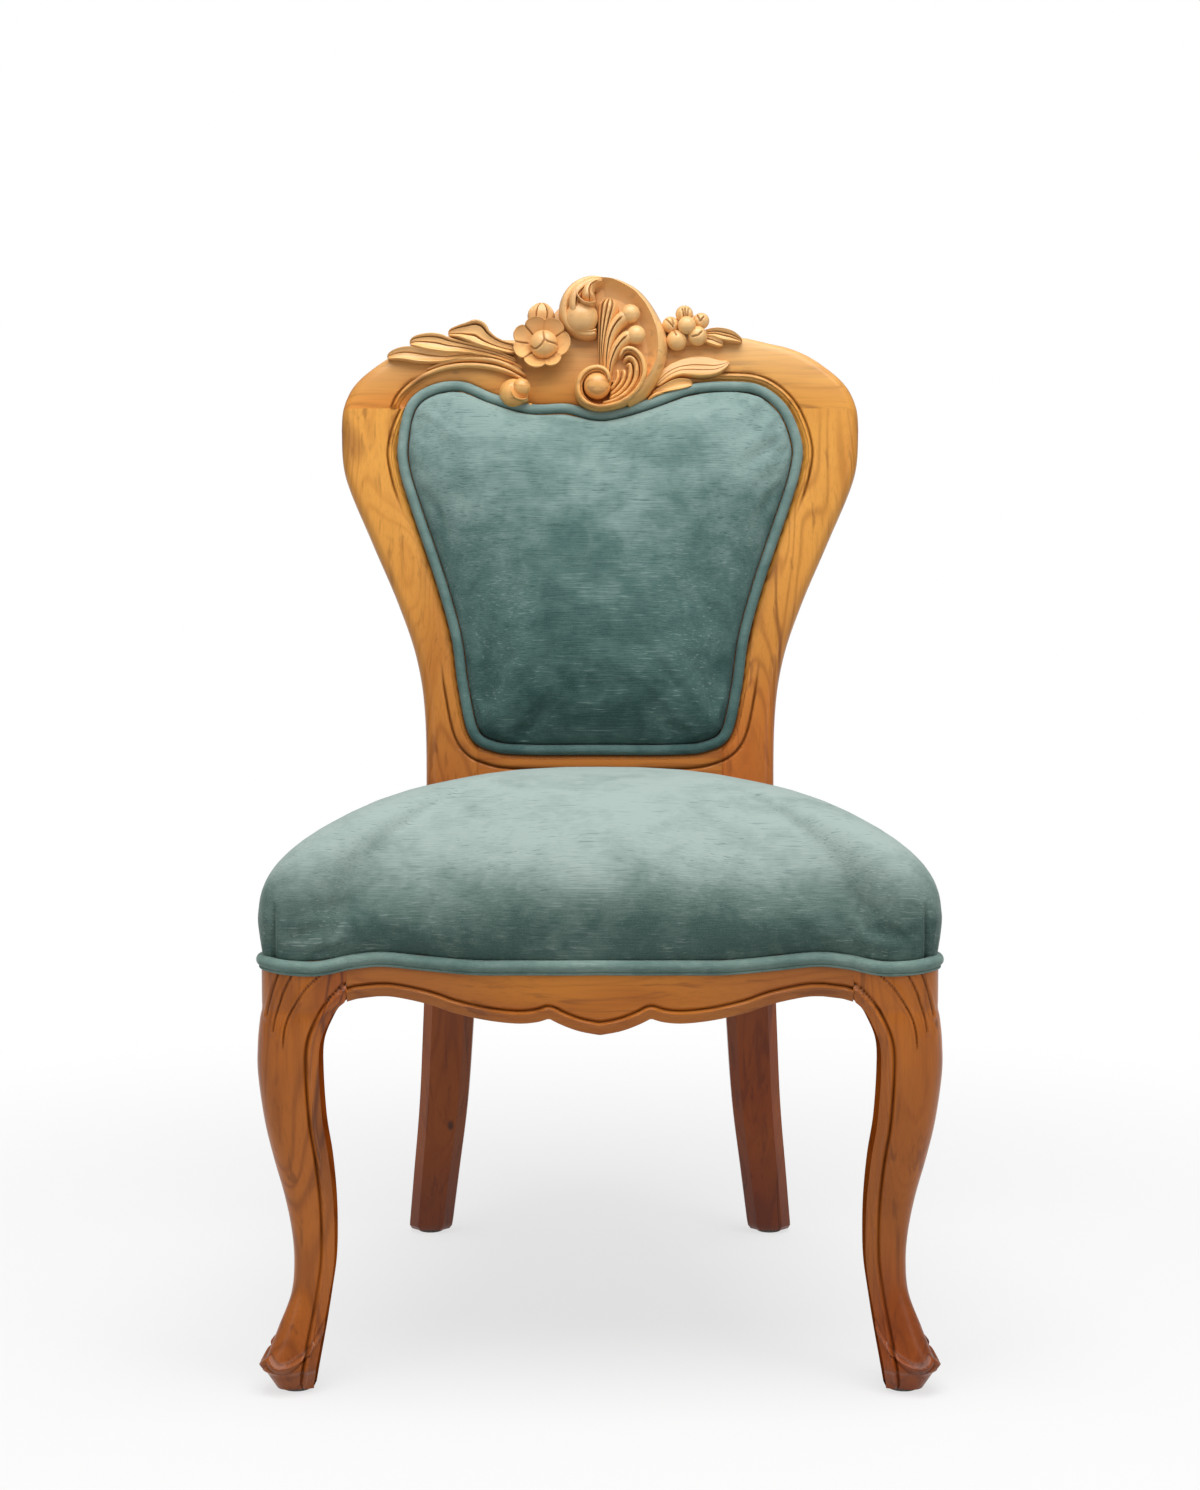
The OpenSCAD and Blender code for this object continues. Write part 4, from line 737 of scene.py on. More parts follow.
# %% The arch's lower line
BLOCK_Z, KNEE_Z, ANKLE_Z, TOE_Z = 323.5, 290, 112, 25
KNEE_W, KNEE_OUT, ANKLE_IN, ANKLE_W, TOE_W, FOOT_W, FOOT_IN = 53, 3, 24, 34, 45, 31, 10
SWELL = [(0.86, 1, 1.12), (0.64, 0.83, 0.87), (0.46, 0.59, 0.37), (0.27, 0.29, 0.06), (0.1, 0.1, 0)]
# Each station of a leg: height, near face, inner face, fall of the flanks, corner radius, chamfer
LEG_STATIONS = [(BLOCK_Z, 0, LEG_BLOCK, 14, 25, 32), (BLOCK_Z - 6, 0, LEG_BLOCK - 7, 12, 25, 27),
                (BLOCK_Z - 15, -KNEE_OUT / 2, mix(LEG_BLOCK, KNEE_W, 0.75), 9, 24, 22),
                (KNEE_Z, -KNEE_OUT, KNEE_W - KNEE_OUT, 7, 23, 18)]
ANKLE_FAR, FOOT_FAR = ANKLE_IN + ANKLE_W, FOOT_IN + FOOT_W
LEG_STATIONS += [(mix(ANKLE_Z, KNEE_Z, h), mix(ANKLE_IN, -KNEE_OUT, a), mix(ANKLE_FAR, KNEE_W - KNEE_OUT, b),
                  mix(4, 7, a), mix(13, 22, a), mix(10, 17, a)) for h, a, b in SWELL]
LEG_STATIONS += [(mix(TOE_Z, ANKLE_Z, 0.9), ANKLE_IN - 1, ANKLE_FAR - 1, 4, 12.5, 10),
                 (mix(TOE_Z, ANKLE_Z, 0.6), ANKLE_IN * 0.85, mix(TOE_W, ANKLE_FAR, 0.65), 4, 13, 10),
                 (mix(TOE_Z, ANKLE_Z, 0.3), ANKLE_IN * 0.4, mix(TOE_W, ANKLE_FAR, 0.35), 5, 15, 12),
                 (TOE_Z, -TOE_OUT, TOE_W, 6, 16, 12),
                 (mix(GLIDE_T, TOE_Z, 0.6), FOOT_IN * 0.25, mix(FOOT_FAR, TOE_W, 0.6), 5, 14, 11),
                 (GLIDE_T, FOOT_IN, FOOT_FAR, 4, 10, 8)]
leg_line = spline(LEG_STATIONS, 8)[::-1]


def leg_at(z):
    """A leg's station at any height: near face, inner face, fall, radius and chamfer."""
    return [float(np.interp(z, leg_line[:, 0], leg_line[:, k])) for k in range(1, 6)]


APRON_DROP, EAR_DROP = 50, WELT_Z - BLOCK_Z
MIDDLE = spline([(0, 1), (0.08, 0.94), (0.15, 0.84), (0.2, 0.74)], 5)
FLANK = spline([(0.2, 0.74), (0.25, 0.805), (0.33, 0.835), (0.45, 0.795), (0.58, 0.69), (0.68, 0.56),
                (0.81, 0.455), (0.88, 0.445)], 5)
apron_line = [(RAIL_END * a, WELT_Z - APRON_DROP * b) for a, b in np.vstack([MIDDLE, FLANK[1:]])]
apron_line += [(0.96 * RAIL_END, WELT_Z - mix(0.445 * APRON_DROP, EAR_DROP, 0.45)), (RAIL_END, BLOCK_Z)]
apron_line = np.array(apron_line)
leg_side = np.array([(leg_at(z)[1], z) for z in np.linspace(BLOCK_Z - 1, 8, 110)])
leg_inside = np.column_stack([CORNER_X - leg_side[:, 0], leg_side[:, 1]])
ARCH_COUNT = 500
front_arch = evenly(np.vstack([apron_line, leg_inside]), ARCH_COUNT)
WELT_RISE = 6.5
WAVE = [(0, 0), (60, -1), (101, -2), (140, 0.3), (176, 3.3), (200, 1.4), (227, -2.6), (250, -1.4), (267, 0.7),
        (276, 1.5)]
wave_line = spline(WAVE, 6)


def faded(y, reach):
    """1 at the front of the seat and 0 from some way behind it."""
    t = np.clip((y - 25) / reach, 0, 1)
    return 1 - t * t * (3 - 2 * t)


def welt_wave(x, y):
    """How far the seat welt lies above its line. It rises to the front, where it also waves."""
    wave = np.interp(np.abs(x), wave_line[:, 0], wave_line[:, 1])
    return WELT_RISE * faded(y, 380) + wave * faded(y, 120)


SIDE_LOW = [(mix(LEG_BLOCK, SEAT_D, a), mix(BLOCK_Z, WELT_Z - 26, b))
            for a, b in [(0, 0), (0.02, 0.6), (0.055, 0.95), (0.16, 0.98), (1, 1)]]
side_arch = evenly(np.vstack([np.array(SIDE_LOW)[::-1], leg_side]), ARCH_COUNT)


def arch_relief(points, arch):
    """Relief of a face seen square on, and its painted shade: a bevelled band, a bead and a groove."""
    d = line_distance(points, arch)
    bevel = -2.8 * np.clip(1 - d / 7.2, 0, 1) ** 1.1
    return np.array([bevel + hump(d, 8.2, 1.6) * 1.1 - groove(d, 11, 2.4) * 2.4, groove(d, 10.8, 1.5)])


print("arch length:", round(float(np.linalg.norm(np.diff(front_arch, axis=0), axis=1).sum())), "mm")

# %% [markdown]
# The leg is a skin of sections: a flank to the front, a round corner and a flank to the side. Near the
# foot a rim leaves the bead, sweeps round the toe and bounds a shallow scoop, as a carver cuts it.

# %% Front legs
SCOOP_TOP = 84
LIP = spline([(0, 31), (6, 27), (12, 24.4), (20, 25.4), (27, 29.5), (33, 36.5), (36, 49), (38, 62),
              (39, 76)], 8)


def toe_relief(run, z):
    """The lip round the toe and the scoop above it, from the place along the contour and the height."""
    run = np.abs(run)
    d = np.sqrt((run[:, None] - LIP[:, 0]) ** 2 + (z - LIP[:, 1]) ** 2).min(1)
    lip_z = np.interp(run, LIP[:, 0], LIP[:, 1], right=200)
    above = (z > lip_z) * np.clip((SCOOP_TOP - z) / 26, 0, 1)
    under = groove(lip_z - z, 5.2, 1.8) * (run < 34)
    fade = np.clip((SCOOP_TOP - z) / 20, 0, 1)
    scoop = above * np.clip(d / 5, 0, 1) ** 0.8 * np.clip(1.4 - d / 26, 0, 1) * 2.6
    # Painted shade under the toe's lip and round its scoop
    painted_shade = under * 0.7 + above * groove(d, 3, 1.6) * 0.7
    return np.array([hump(d, 0, 2.2) * 1.7 * fade - scoop - under * 0.9, painted_shade])


KNEE_LINES = [evenly(spline(line, 6), 60) for line in (
    [(223, 347), (238, 334), (249, 319), (254.5, 304), (256, 288)],
    [(245, 349), (256, 331), (262, 314), (264, 302)], [(257, 349), (266, 329), (270, 314)])]


def leg_contour(near, far, fall, radius, count=190):
    """The outer contour of a leg's section: flank to the front, round corner, flank to the side."""
    t = np.linspace(1, 0, 40)
    flank = np.column_stack([mix(near + radius, far, t), near + fall * t ** 1.7])
    turn = np.radians(np.linspace(90, 0, 25)[1:-1])
    arc = np.column_stack([near + radius * (1 - np.cos(turn)), near + radius * (1 - np.sin(turn))])
    return evenly(np.vstack([flank, arc, flank[::-1, ::-1]]), count)


def leg_relief(contour, z):
    """Relief and painted shade round a leg at a height: the arches' edges, the knee's cuts and the toe."""
    run = np.linspace(-1, 1, len(contour)) * np.linalg.norm(np.diff(contour, axis=0), axis=1).sum() / 2
    height = np.full(len(contour), z)
    front_view = np.column_stack([CORNER_X - contour[:, 0], height])
    side_view = np.column_stack([contour[:, 1], height])
    relief = np.where(run < 0, arch_relief(front_view, front_arch), arch_relief(side_view, side_arch))
    if z > 270:
        cuts = [line_distance(front_view, line) for line in KNEE_LINES]
        # Painted shade in the knee's cuts
        knee = np.array([sum(hump(d, 1.9, 1.5) * 0.8 - groove(d, 0, 1.3) * 1.3 for d in cuts),
                         sum(groove(d, 0, 1.4) for d in cuts)])
        relief += knee * (run < 8) * ease((z - 282) / 14)
    if z < SCOOP_TOP:
        relief += toe_relief(run, z)
    return relief


def leg_section_at(z):
    """The whole section of a leg at a height, and its painted shade."""
    near, far, fall, radius, cut = leg_at(z)
    step = 0 if z <= STEP_Z else CLOTH_IN
    contour = leg_contour(near + step, far, fall, radius)
    slim = np.clip(far - near, 20, 46) / 46
    relief, painted_shade = leg_relief(contour, z) * slim if not step else np.zeros((2, len(contour)))
    contour = contour - sideways(contour) * relief[:, None]
    closing = np.array([(far - cut * s, far - cut * (1 - s)) for s in (0, 0.25, 0.5, 0.75, 1)])
    return np.vstack([contour, closing]), np.concatenate([np.clip(painted_shade, 0, 1), np.zeros(len(closing))])


leg_heights = np.concatenate([np.linspace(GLIDE_T, 90, 80), np.linspace(91.5, STEP_Z, 150),
                              [STEP_Z + 0.3, 360, SEAT_TOP]])
leg_rows, leg_painted_shade = [], []
for z in leg_heights:
    ring, painted_shade = leg_section_at(z)
    leg_painted_shade.append(painted_shade)
    x, y = CORNER_X - ring[:, 0], ring[:, 1]
    lift = welt_wave(x, y) * min(max((z - 325) / 20, 0), (SEAT_TOP - z) / 20, 1)
    leg_rows.append(on_floor_plan(np.column_stack([x, y, z + lift])))
both_sides(skin("front_right_leg_wood", leg_rows, sharp=30, painted_shade=leg_painted_shade), "front_right_leg")

# %% [markdown]
# The rails are skins too, with one section at each place along them. The front rail bows out in the
# middle and has the shaped apron below. All rails step in above the welt, where the cloth is fixed.

# %% Seat rails
HOLLOW, BOW, HOLLOW_X = 15, 22, RAIL_END - 18


def front_y(x):
    """Depth of the front rail's face: it bows out in the middle and is hollow towards the legs."""
    a = abs(x)
    if a < HOLLOW_X:
        return HOLLOW - BOW * (1 + math.cos(math.pi * a / HOLLOW_X)) / 2
    return mix(HOLLOW, 14, ease((a - HOLLOW_X) / 18))


def side_x(y):
    """Half width over the side rails."""
    return mix(CORNER_X - 14, POST_X, (y - LEG_BLOCK) / (SEAT_D - LEG_BLOCK))


def rail_section(low, thick, step_z, along, arch):
    """One section of a rail as depth behind its face, height and painted shade, from the top round its face.
    """
    heights = np.concatenate([np.linspace(step_z, low + 17, 8)[:-1], np.linspace(low + 17, low + 1.2, 32)])
    depth, painted_shade = arch_relief(np.column_stack([np.full(len(heights), along), heights]), arch)
    face = np.column_stack([-depth, heights, painted_shade])
    step = [(thick, SEAT_TOP, 0), (CLOTH_IN, SEAT_TOP, 0), (CLOTH_IN, step_z + 0.3, 0)]
    under = [(face[-1, 0] + 1.2, low, 0), (thick * 0.5, low, 0), (thick - 1.5, low + 0.3, 0),
             (thick, low + 2, 0)]
    return np.vstack([step, face, under])


rows, painted_shade = [], []
for x in np.linspace(RAIL_END, -RAIL_END, 190):
    low = float(np.interp(abs(x), apron_line[:, 0], apron_line[:, 1]))
    face_y = front_y(x)
    section = rail_section(low, HOLLOW + RAIL_T - face_y, STEP_Z + welt_wave(x, face_y), abs(x), front_arch)
    rows.append(on_floor_plan([(x, face_y + depth, z) for depth, z, _ in section]))
    painted_shade.append(section[:, 2])
front_rail = skin("front_seat_rail_wood", rows, sharp=30, painted_shade=painted_shade)
dress(front_rail, "front_seat_rail", finishes["front_seat_rail"])

slant = math.atan((CORNER_X - 14 - POST_X) / (SEAT_D - LEG_BLOCK))
rows, painted_shade = [], []
for y in np.linspace(LEG_BLOCK, SEAT_D, 110):
    low = float(np.interp(y, *np.array(SIDE_LOW).T))
    section = rail_section(low, RAIL_T / math.cos(slant), STEP_Z + welt_wave(side_x(y), y), y, side_arch)
    rows.append(on_floor_plan([(side_x(y) - depth, y, z) for depth, z, _ in section]))
    painted_shade.append(section[:, 2])
both_sides(skin("right_seat_rail_wood", rows, sharp=30, painted_shade=painted_shade), "right_seat_rail")

# %% [markdown]
# The carving is made of bands and balls. A band is a strip of wood along a curve, whose width and
# height change along it and whose section has its own ribs or hollow. Each point of a band's curve
# holds its place, width and height, and the same spline smooths all four.

# %% Carved bands and balls
def plump(s):
    """A full round section, from -1 to 1 across."""
    return (1 - np.abs(s) ** 2.6) ** (1 / 2.6)


def slits(s, cuts, depth, half):
    """Depth of the slits at places across a band."""
    return sum(np.clip(1 - np.abs(s - cut) / half, 0, 1) ** 1.2 * depth for cut in cuts)


def ribbed(*cuts, depth=0.34, half=0.15):
    """A plump band with slits at some places across it, from -1 to 1."""
    return lambda s: plump(s) - slits(s, cuts, depth, half)


def leafy(*cuts, depth=0.3, half=0.12):
    """A flat leaf with raised rims and slits."""
    return lambda s: ((0.62 + 0.38 * np.abs(s) ** 2.4) * (1 - np.abs(s) ** 14) ** 0.6
                      - slits(s, cuts, depth, half))


def in_the_slits(heights, reach):
    """Painted shade, 0 to 1, where a section lies lower than the wood on both sides of it."""
    wide = np.pad(heights, reach, mode="edge")
    mean = np.convolve(wide, np.ones(2 * reach + 1) / (2 * reach + 1), mode="valid")
    return np.clip((mean - heights) / 0.2, 0, 1)


CARVING_BASE = -2


def band(name, path, section=plump, across=25, steps=9, tips=(True, True), bead=0.0):
    """A carved strip. Its far end is a plain round bead over the given length."""
    line = spline(path, steps)
    centre, width, height = line[:, :2], line[:, 2], line[:, 3]
    run = np.concatenate([[0], np.cumsum(np.linalg.norm(np.diff(centre, axis=0), axis=1))])
    for tip, d in zip(tips, (run, run[-1] - run)):
        if tip:
            round_off = np.sqrt(np.clip(1 - (1 - np.clip(d / (width / 2 + 0.01), 0, 1)) ** 2, 0.02, 1))
            width, height = width * round_off, height * mix(0.35, 1, round_off)
    out = sideways(centre)
    s = np.linspace(-1, 1, across)
    rows, painted_shade = [], []
    for c, n, w, h, left in zip(centre, out, width, height, run[-1] - run):
        top = mix(plump(s), section(s), ease((left - bead) / 4)) if bead else section(s)
        places = c + np.outer(s, n) * w / 2
        face = np.column_stack([places, np.maximum(top * h, CARVING_BASE + 0.2)])
        rows.append(on_back(np.vstack([face, [(*place, CARVING_BASE) for place in places[[-1, 0]]]])))
        painted_shade_row = in_the_slits(top, max(2, across // 10))
        # Painted shade at the band's edges, and full shade at its foot where it meets the crest
        painted_shade_row[[0, -1]] = 0.6
        painted_shade.append(np.concatenate([painted_shade_row, [1, 1]]))
    return skin(name, rows, sharp=50, painted_shade=painted_shade)


def ball(name, x, v, radius, lift, flat=1.0, creases=()):
    """A carved ball. Creases are lines, drawn on the back, that are cut into its front."""
    bpy.ops.object.select_all(action="DESELECT")
    segments, rings = (96, 60) if creases else (32, 18)
    bpy.ops.mesh.primitive_uv_sphere_add(segments=segments, ring_count=rings, radius=1)
    piece = bpy.context.object
    piece.name = name
    sphere = mesh_points(piece)
    cut = np.zeros(len(sphere))
    for crease in creases:
        away = line_distance((x, v) + sphere[:, :2] * radius, evenly(spline(crease, 6), 60))
        cut = np.maximum(cut, np.exp(-(away / 0.9) ** 2) * (sphere[:, 2] > 0))
    sphere = sphere * (radius - 1.7 * cut)[:, None]
    set_points(piece, on_back((x, v, lift) + sphere * (1, 1, flat)))
    # Painted shade in the creases
    set_painted_shade(piece, cut)
    bpy.ops.object.shade_smooth()
    return piece


def carved(name, node, parts):
    return dress(joined(name, parts), node, finishes["carving"])


# %% [markdown]
# The scroll: a big C with a high outer rim and a hollow inside. Its upper end rolls into a fat curl on
# the left, and its lower end into a volute. A plume of ribbed fingers with round ends fills it.

# %% Scroll
SCROLL_EDGE = [(-12, 590), (1, 592), (15, 590.8), (29, 586), (41, 578), (50, 567.6), (57, 556.5),
               (62.2, 546.3), (66.2, 536), (68.4, 526), (68.2, 518), (66.7, 509), (64, 499.6),
               (60, 489.5), (54, 479.3), (47, 470), (39, 464), (29, 459)]
SCROLL_RIDGE = [(-12, 585), (-1, 588.4), (9.3, 587.6), (19.3, 584), (29.3, 578.3), (35.3, 573.8),
                (41.3, 567), (46.3, 560), (50.3, 552.2), (54.3, 542.3), (56.8, 534), (57.8, 526),
                (57.8, 516), (56.3, 505.7), (52.3, 496.6), (47.3, 487.5), (41.3, 479.4), (35, 472),
                (27, 464)]


def scroll_rim():
    """The big C: a side that rounds up to a thin ridge, and a smooth hollow inside it."""
    count, floor = 110, 8
    edge, ridge = (evenly(spline(line, 8), count) for line in (SCROLL_EDGE, SCROLL_RIDGE))
    width = np.interp(np.arange(count), [0, 12, 60, count - 1], [6, 19, 17, 6])
    inner = ridge + sideways(ridge) * width[:, None]
    top = np.interp(np.arange(count), [0, 15, 60, count - 1], [19, 23, 23, 17])
    rise, fall = np.linspace(0, 1, 12), np.linspace(0, 1, 18)[1:]
    rows, painted_shade = [], []
    for o, r, i, t in zip(edge, ridge, inner, top):
        round_up = np.sin(rise * math.pi / 2) ** 0.7
        side = np.column_stack([o + np.outer(rise, r - o), 3 + (t - 4.2) * round_up])
        side[-2:, 2] += (0.7, 1.2)
        hollow = np.column_stack([r + np.outer(fall, i - r), floor + (t - 1 - floor) * (1 - fall) ** 2.6])
        rows.append(on_back(np.vstack([side, hollow, [(*i, CARVING_BASE), (*o, CARVING_BASE)]])))
        # Painted shade deepening into the hollow, and at the rim's foot where it meets the crest
        painted_shade.append(np.concatenate([np.zeros(12), 0.3 * fall, [1, 0.6]]))
    return skin("rim", rows, sharp=50, painted_shade=painted_shade)


def scroll_parts():
    parts = [scroll_rim()]
    floor = [(2, 576, 22, 8), (20, 556, 42, 8.6), (29, 530, 54, 8.6), (29, 505, 52, 8.6), (20, 482, 38, 7)]
    parts.append(band("floor", floor, lambda s: (1 - np.abs(s) ** 8) ** 0.5, tips=(False, False)))
    curl = [
        [(5, 589, 5, 18), (-10, 588.3, 9, 21), (-24, 580.5, 12, 24), (-33, 568.5, 12, 25),
         (-36, 555.5, 11, 24), (-32, 542.5, 10, 21), (-23, 535.3, 9, 19), (-11, 532.5, 8, 17.5),
         (-3, 535, 7, 16)],
        [(4, 586, 6, 20), (-8, 584.5, 10, 25), (-18.5, 578, 14, 28), (-25, 568.5, 14, 29.5),
         (-26, 558, 13, 29), (-23, 549, 11, 26)],
        [(-24, 577.5, 2.6, 28), (-22.3, 568, 3.2, 31.5), (-16.5, 561.3, 3.6, 32.5),
         (-9.5, 559.8, 3.6, 32), (-3.8, 562.8, 3, 29)],
        [(6, 587.5, 5, 18), (-3, 585.5, 8, 24), (-9.5, 580.5, 11, 29), (-12.3, 573.5, 14.5, 31.5),
         (-12, 567, 16, 32), (-12, 561, 14, 31)],
        [(6, 584, 10, 10), (0, 574, 14, 9), (0, 560, 12, 7), (-1, 548, 8, 6)],
        [(-30, 538, 3, 15), (-18, 534.6, 4, 18.5), (-8, 535, 4, 18.5), (-3, 538, 3, 16)],
    ]
    split_outer, split_inner = ribbed(-0.35, depth=0.2, half=0.1), ribbed(-0.2, depth=0.16, half=0.14)
    cuts = [plump, split_outer, plump, split_inner, plump, plump]
    parts += [band("curl", path, cut, across=35) for path, cut in zip(curl, cuts)]
    parts.append(ball("curl_core", -19, 549.3, 17.3, 12.5, 0.97))
    fingers = [
        [(2, 488, 5, 9), (1.5, 508, 7, 14), (3, 528, 11, 19), (5.5, 545, 17, 22), (8.5, 560, 22, 24),
         (10, 570, 19, 21)],
        [(6, 495, 6, 12), (7, 512, 9, 16), (10, 529, 13.5, 20), (16, 541, 16.5, 23), (23.5, 548, 18, 25),
         (30.5, 551.3, 18, 25.5)],
        [(9.5, 490, 6, 13), (11, 503, 9.5, 17), (16, 515.5, 13.5, 21), (22.5, 524, 16.5, 24),
         (29.5, 528.6, 18, 26), (36, 529.8, 18, 26.5)],
    ]
    cuts = [(-0.55, -0.12, 0.34), (-0.05,), (-0.05,)]
    parts += [band("finger", path, ribbed(*cut, depth=0.3, half=0.13), across=45, bead=length)
              for path, cut, length in zip(fingers, cuts, (0.0, 9.0, 9.0))]
    parts += [ball("finger_end", 30.5, 551.8, 9.6, 18.5, 0.95),
              ball("finger_end", 36, 529.8, 9.8, 19.5, 0.95)]
    leaf = [
        [(19.5, 507, 5, 20), (23.5, 514, 7, 23), (29.5, 515.8, 8, 24), (36.5, 512.5, 8.5, 24),
         (42.3, 504, 9.5, 23), (43.8, 491, 9.5, 22), (39, 479, 9.5, 21), (31, 469.5, 9, 20),
         (20.5, 462.7, 8.5, 19), (7, 459, 7.5, 18), (-4, 458.8, 7.5, 17.5), (-13.5, 462.8, 8.5, 17.5),
         (-19.6, 470, 9, 18), (-21.3, 479.5, 9, 18.5), (-18.5, 488.6, 9, 19.5), (-11.5, 495, 8.8, 21),
         (-2.5, 497, 8.5, 22), (5, 494, 8, 22.5), (8.6, 487.5, 7.5, 22), (8, 481, 6, 20)],
        [(23.5, 503.5, 5, 18), (28.5, 507.5, 6, 21), (34, 504.5, 6.5, 21), (36.6, 497, 6.5, 20),
         (35.6, 487, 6.5, 19), (31, 477.5, 6.5, 18), (23.5, 470, 6.5, 17.5), (13.5, 464.5, 6, 16.5),
         (2, 462, 5, 15)],
        [(26, 499, 5, 16.5), (29.5, 500.5, 5.5, 19), (30.6, 494, 6, 18), (29, 486, 6, 17.5),
         (24.5, 477.5, 6, 17), (17.5, 471, 6, 16), (9, 466.5, 5, 14)],
        [(22, 496.5, 4.5, 16), (24.4, 492, 5.5, 17.5), (22.5, 484, 5.5, 16.5), (17, 476.5, 5.5, 15.5),
         (10, 471, 5, 13)],
        [(17.5, 497, 4, 15), (18, 488, 5, 16), (14, 480.5, 5, 15), (10, 476, 4, 13)],
    ]
    parts += [band("leaf", path, plump if k else ribbed(0.42, depth=0.16), steps=8, across=21)
              for k, path in enumerate(leaf)]
    parts.append(ball("volute", -2.8, 480.4, 13.6, 10.5, 0.95))
    return parts


carved("scroll", "scroll_carving", scroll_parts())

# %% [markdown]
# The rose is one dished petal ring. Its rim waves in seven petals of uneven width, slits part some of
# them and a split bud sits in the middle. One more petal stands up behind the ring.

# %% Rose
NOTCHES = np.radians([24, 82, 135, 181, 225, 279, 323])
SLIT_DEPTHS = [1, 0.3, 1.2, 1.2, 1, 0.4, 0.4]


def petal_place(a):
    """For an angle round the rose: how far into its petal it lies, 0 to 1, and the nearest notch."""
    edges = np.concatenate([NOTCHES, [NOTCHES[0] + 2 * math.pi]])
    a = (a - NOTCHES[0]) % (2 * math.pi) + NOTCHES[0]
    k = min(int(np.searchsorted(edges, a, side="right")) - 1, len(NOTCHES) - 1)
    share = (a - edges[k]) / (edges[k + 1] - edges[k])
    nearest = k if share < 0.5 else k + 1
    return share, nearest % len(NOTCHES), abs(a - edges[nearest])


def rose_parts():
    cx, cv = -58.6, 524.6
    rows, painted_shade = [], []
    for r in np.concatenate([[0.02], np.linspace(0.1, 0.9, 24), np.linspace(0.92, 1, 8)]):
        ring, painted_shade_row = [], []
        for a in np.linspace(0, 2 * math.pi, 210, endpoint=False):
            share, notch, angle = petal_place(a)
            scallop = math.sin(math.pi * share) ** 0.6
            reach = 23.6 + 4.6 * scallop + 1.4 * math.cos(a) ** 2 - 2.4 * max(0, math.sin(a)) ** 2
            slit = math.exp(-(angle * r * reach / 0.8) ** 2) * SLIT_DEPTHS[notch] * ease((r - 0.45) / 0.1)
            lip = math.exp(-((r - 0.965) / 0.02) ** 2) * 0.9 - 2.5 * max(0, (r - 0.98) / 0.02) ** 2
            dish = 7 + 10.5 * r ** 2.2 + 2.2 * scallop * r * r + lip
            ring.append((cx + reach * r * math.cos(a), cv + reach * r * math.sin(a), dish - 1.8 * slit))
            # Painted shade in the slits and towards the rose's deep middle
            painted_shade_row.append(min(1, slit) * 0.9 + max(0, 0.62 - r) * 0.8)
        rows.append(on_back(ring))
        painted_shade.append(painted_shade_row)
    rim, centre = rows[-1], on_back([(cx, cv, CARVING_BASE)])
    for down, draw in ((2, 0.02), (8, 0.1), (15, 0.22)):
        rows.append(rim + (on_back([(0, 0, -down)]) - on_back([(0, 0, 0)])) + (centre - rim) * draw)
        # Painted shade under the cup
        painted_shade.append(np.full(210, 0.4 + down / 30))
    parts = [skin("petals", rows, sharp=60, painted_shade=painted_shade)]
    back = [(-60, 541, 24, 4), (-59.5, 550, 27, 9), (-59, 559, 27, 12), (-58.8, 568, 19, 9)]
    parts.append(band("back_petal", back, leafy(-0.35, 0.45, depth=0.25, half=0.07), across=37))
    creases = [[(-56.6, 535), (-56.3, 529), (-55.1, 523.8)],
               [(-55.1, 523.8), (-59.2, 517.9), (-65.5, 515.2), (-70, 519.5)],
               [(-55.1, 523.8), (-49.5, 521.4), (-41.5, 521)]]
    parts.append(ball("rose_bud", -56.2, 522.3, 14.2, 13, 0.9, creases))
    return parts


carved("rose", "rose_carving", rose_parts())

# %% [markdown]
# The leaf spray on the left has three overlapping feathers with squared, turned-up tips. Below them
# two smooth beads sweep from the rose over the pad's lobe and run out on the shoulder.

# %% Leaves, bud and blossom
left_leaf = [
    band("leaf_a", [(-78, 498.5, 5, 8), (-90, 504.5, 6, 10), (-106, 510, 6, 11), (-125, 513, 6, 11),
         (-140, 512.5, 7, 11), (-155, 510.7, 9.5, 11.5), (-168, 511.2, 13, 12), (-182, 513, 16, 12.5),
         (-194, 514.7, 15, 12), (-205, 514, 11, 10), (-213.5, 511.5, 5, 7)], leafy(0.15, depth=0.2),
         across=37),
    band("leaf_b", [(-84, 506, 6, 10), (-104, 513, 8, 13), (-124, 517.5, 10, 15), (-140, 520.5, 13, 16),
         (-152, 522.2, 16.5, 16.5), (-162, 524.6, 19.5, 17), (-172, 525.8, 18.5, 17),
         (-182, 526.3, 13.5, 16), (-191, 525.5, 7, 13)], leafy(-0.05, 0.55, depth=0.28, half=0.09),
         across=45),
    band("leaf_c", [(-84, 518, 11, 14), (-98, 521, 12, 17), (-108, 524.5, 15, 19),
         (-116.5, 529, 20.5, 21), (-124, 534.4, 27, 22), (-133, 535, 20, 22), (-141.5, 535.3, 13.5, 20),
         (-152.5, 534.8, 6, 15)], leafy(-0.25, 0.6, depth=0.34, half=0.09), across=45),
    band("sweep_upper", [(-74, 492, 4, 8), (-91, 501.5, 5, 10), (-106, 507, 5.5, 10),
         (-123.5, 509.5, 5.5, 9), (-141, 509, 5, 8), (-157, 505.5, 4, 6), (-174, 499.5, 2.5, 3)]),
    band("sweep_lower", [(-76, 487.5, 4, 8), (-91, 495.5, 5, 8.5), (-106, 500.5, 5.5, 8),
         (-123.5, 503, 5.5, 7.5), (-141, 503, 5.5, 7), (-157, 500.6, 5.5, 6), (-170, 496, 5, 5.5),
         (-181.5, 489.8, 4.5, 5), (-194.5, 479.5, 3.2, 3.8), (-202.5, 470.5, 1.8, 2)])]
carved("left_leaf", "left_leaf_carving", left_leaf)

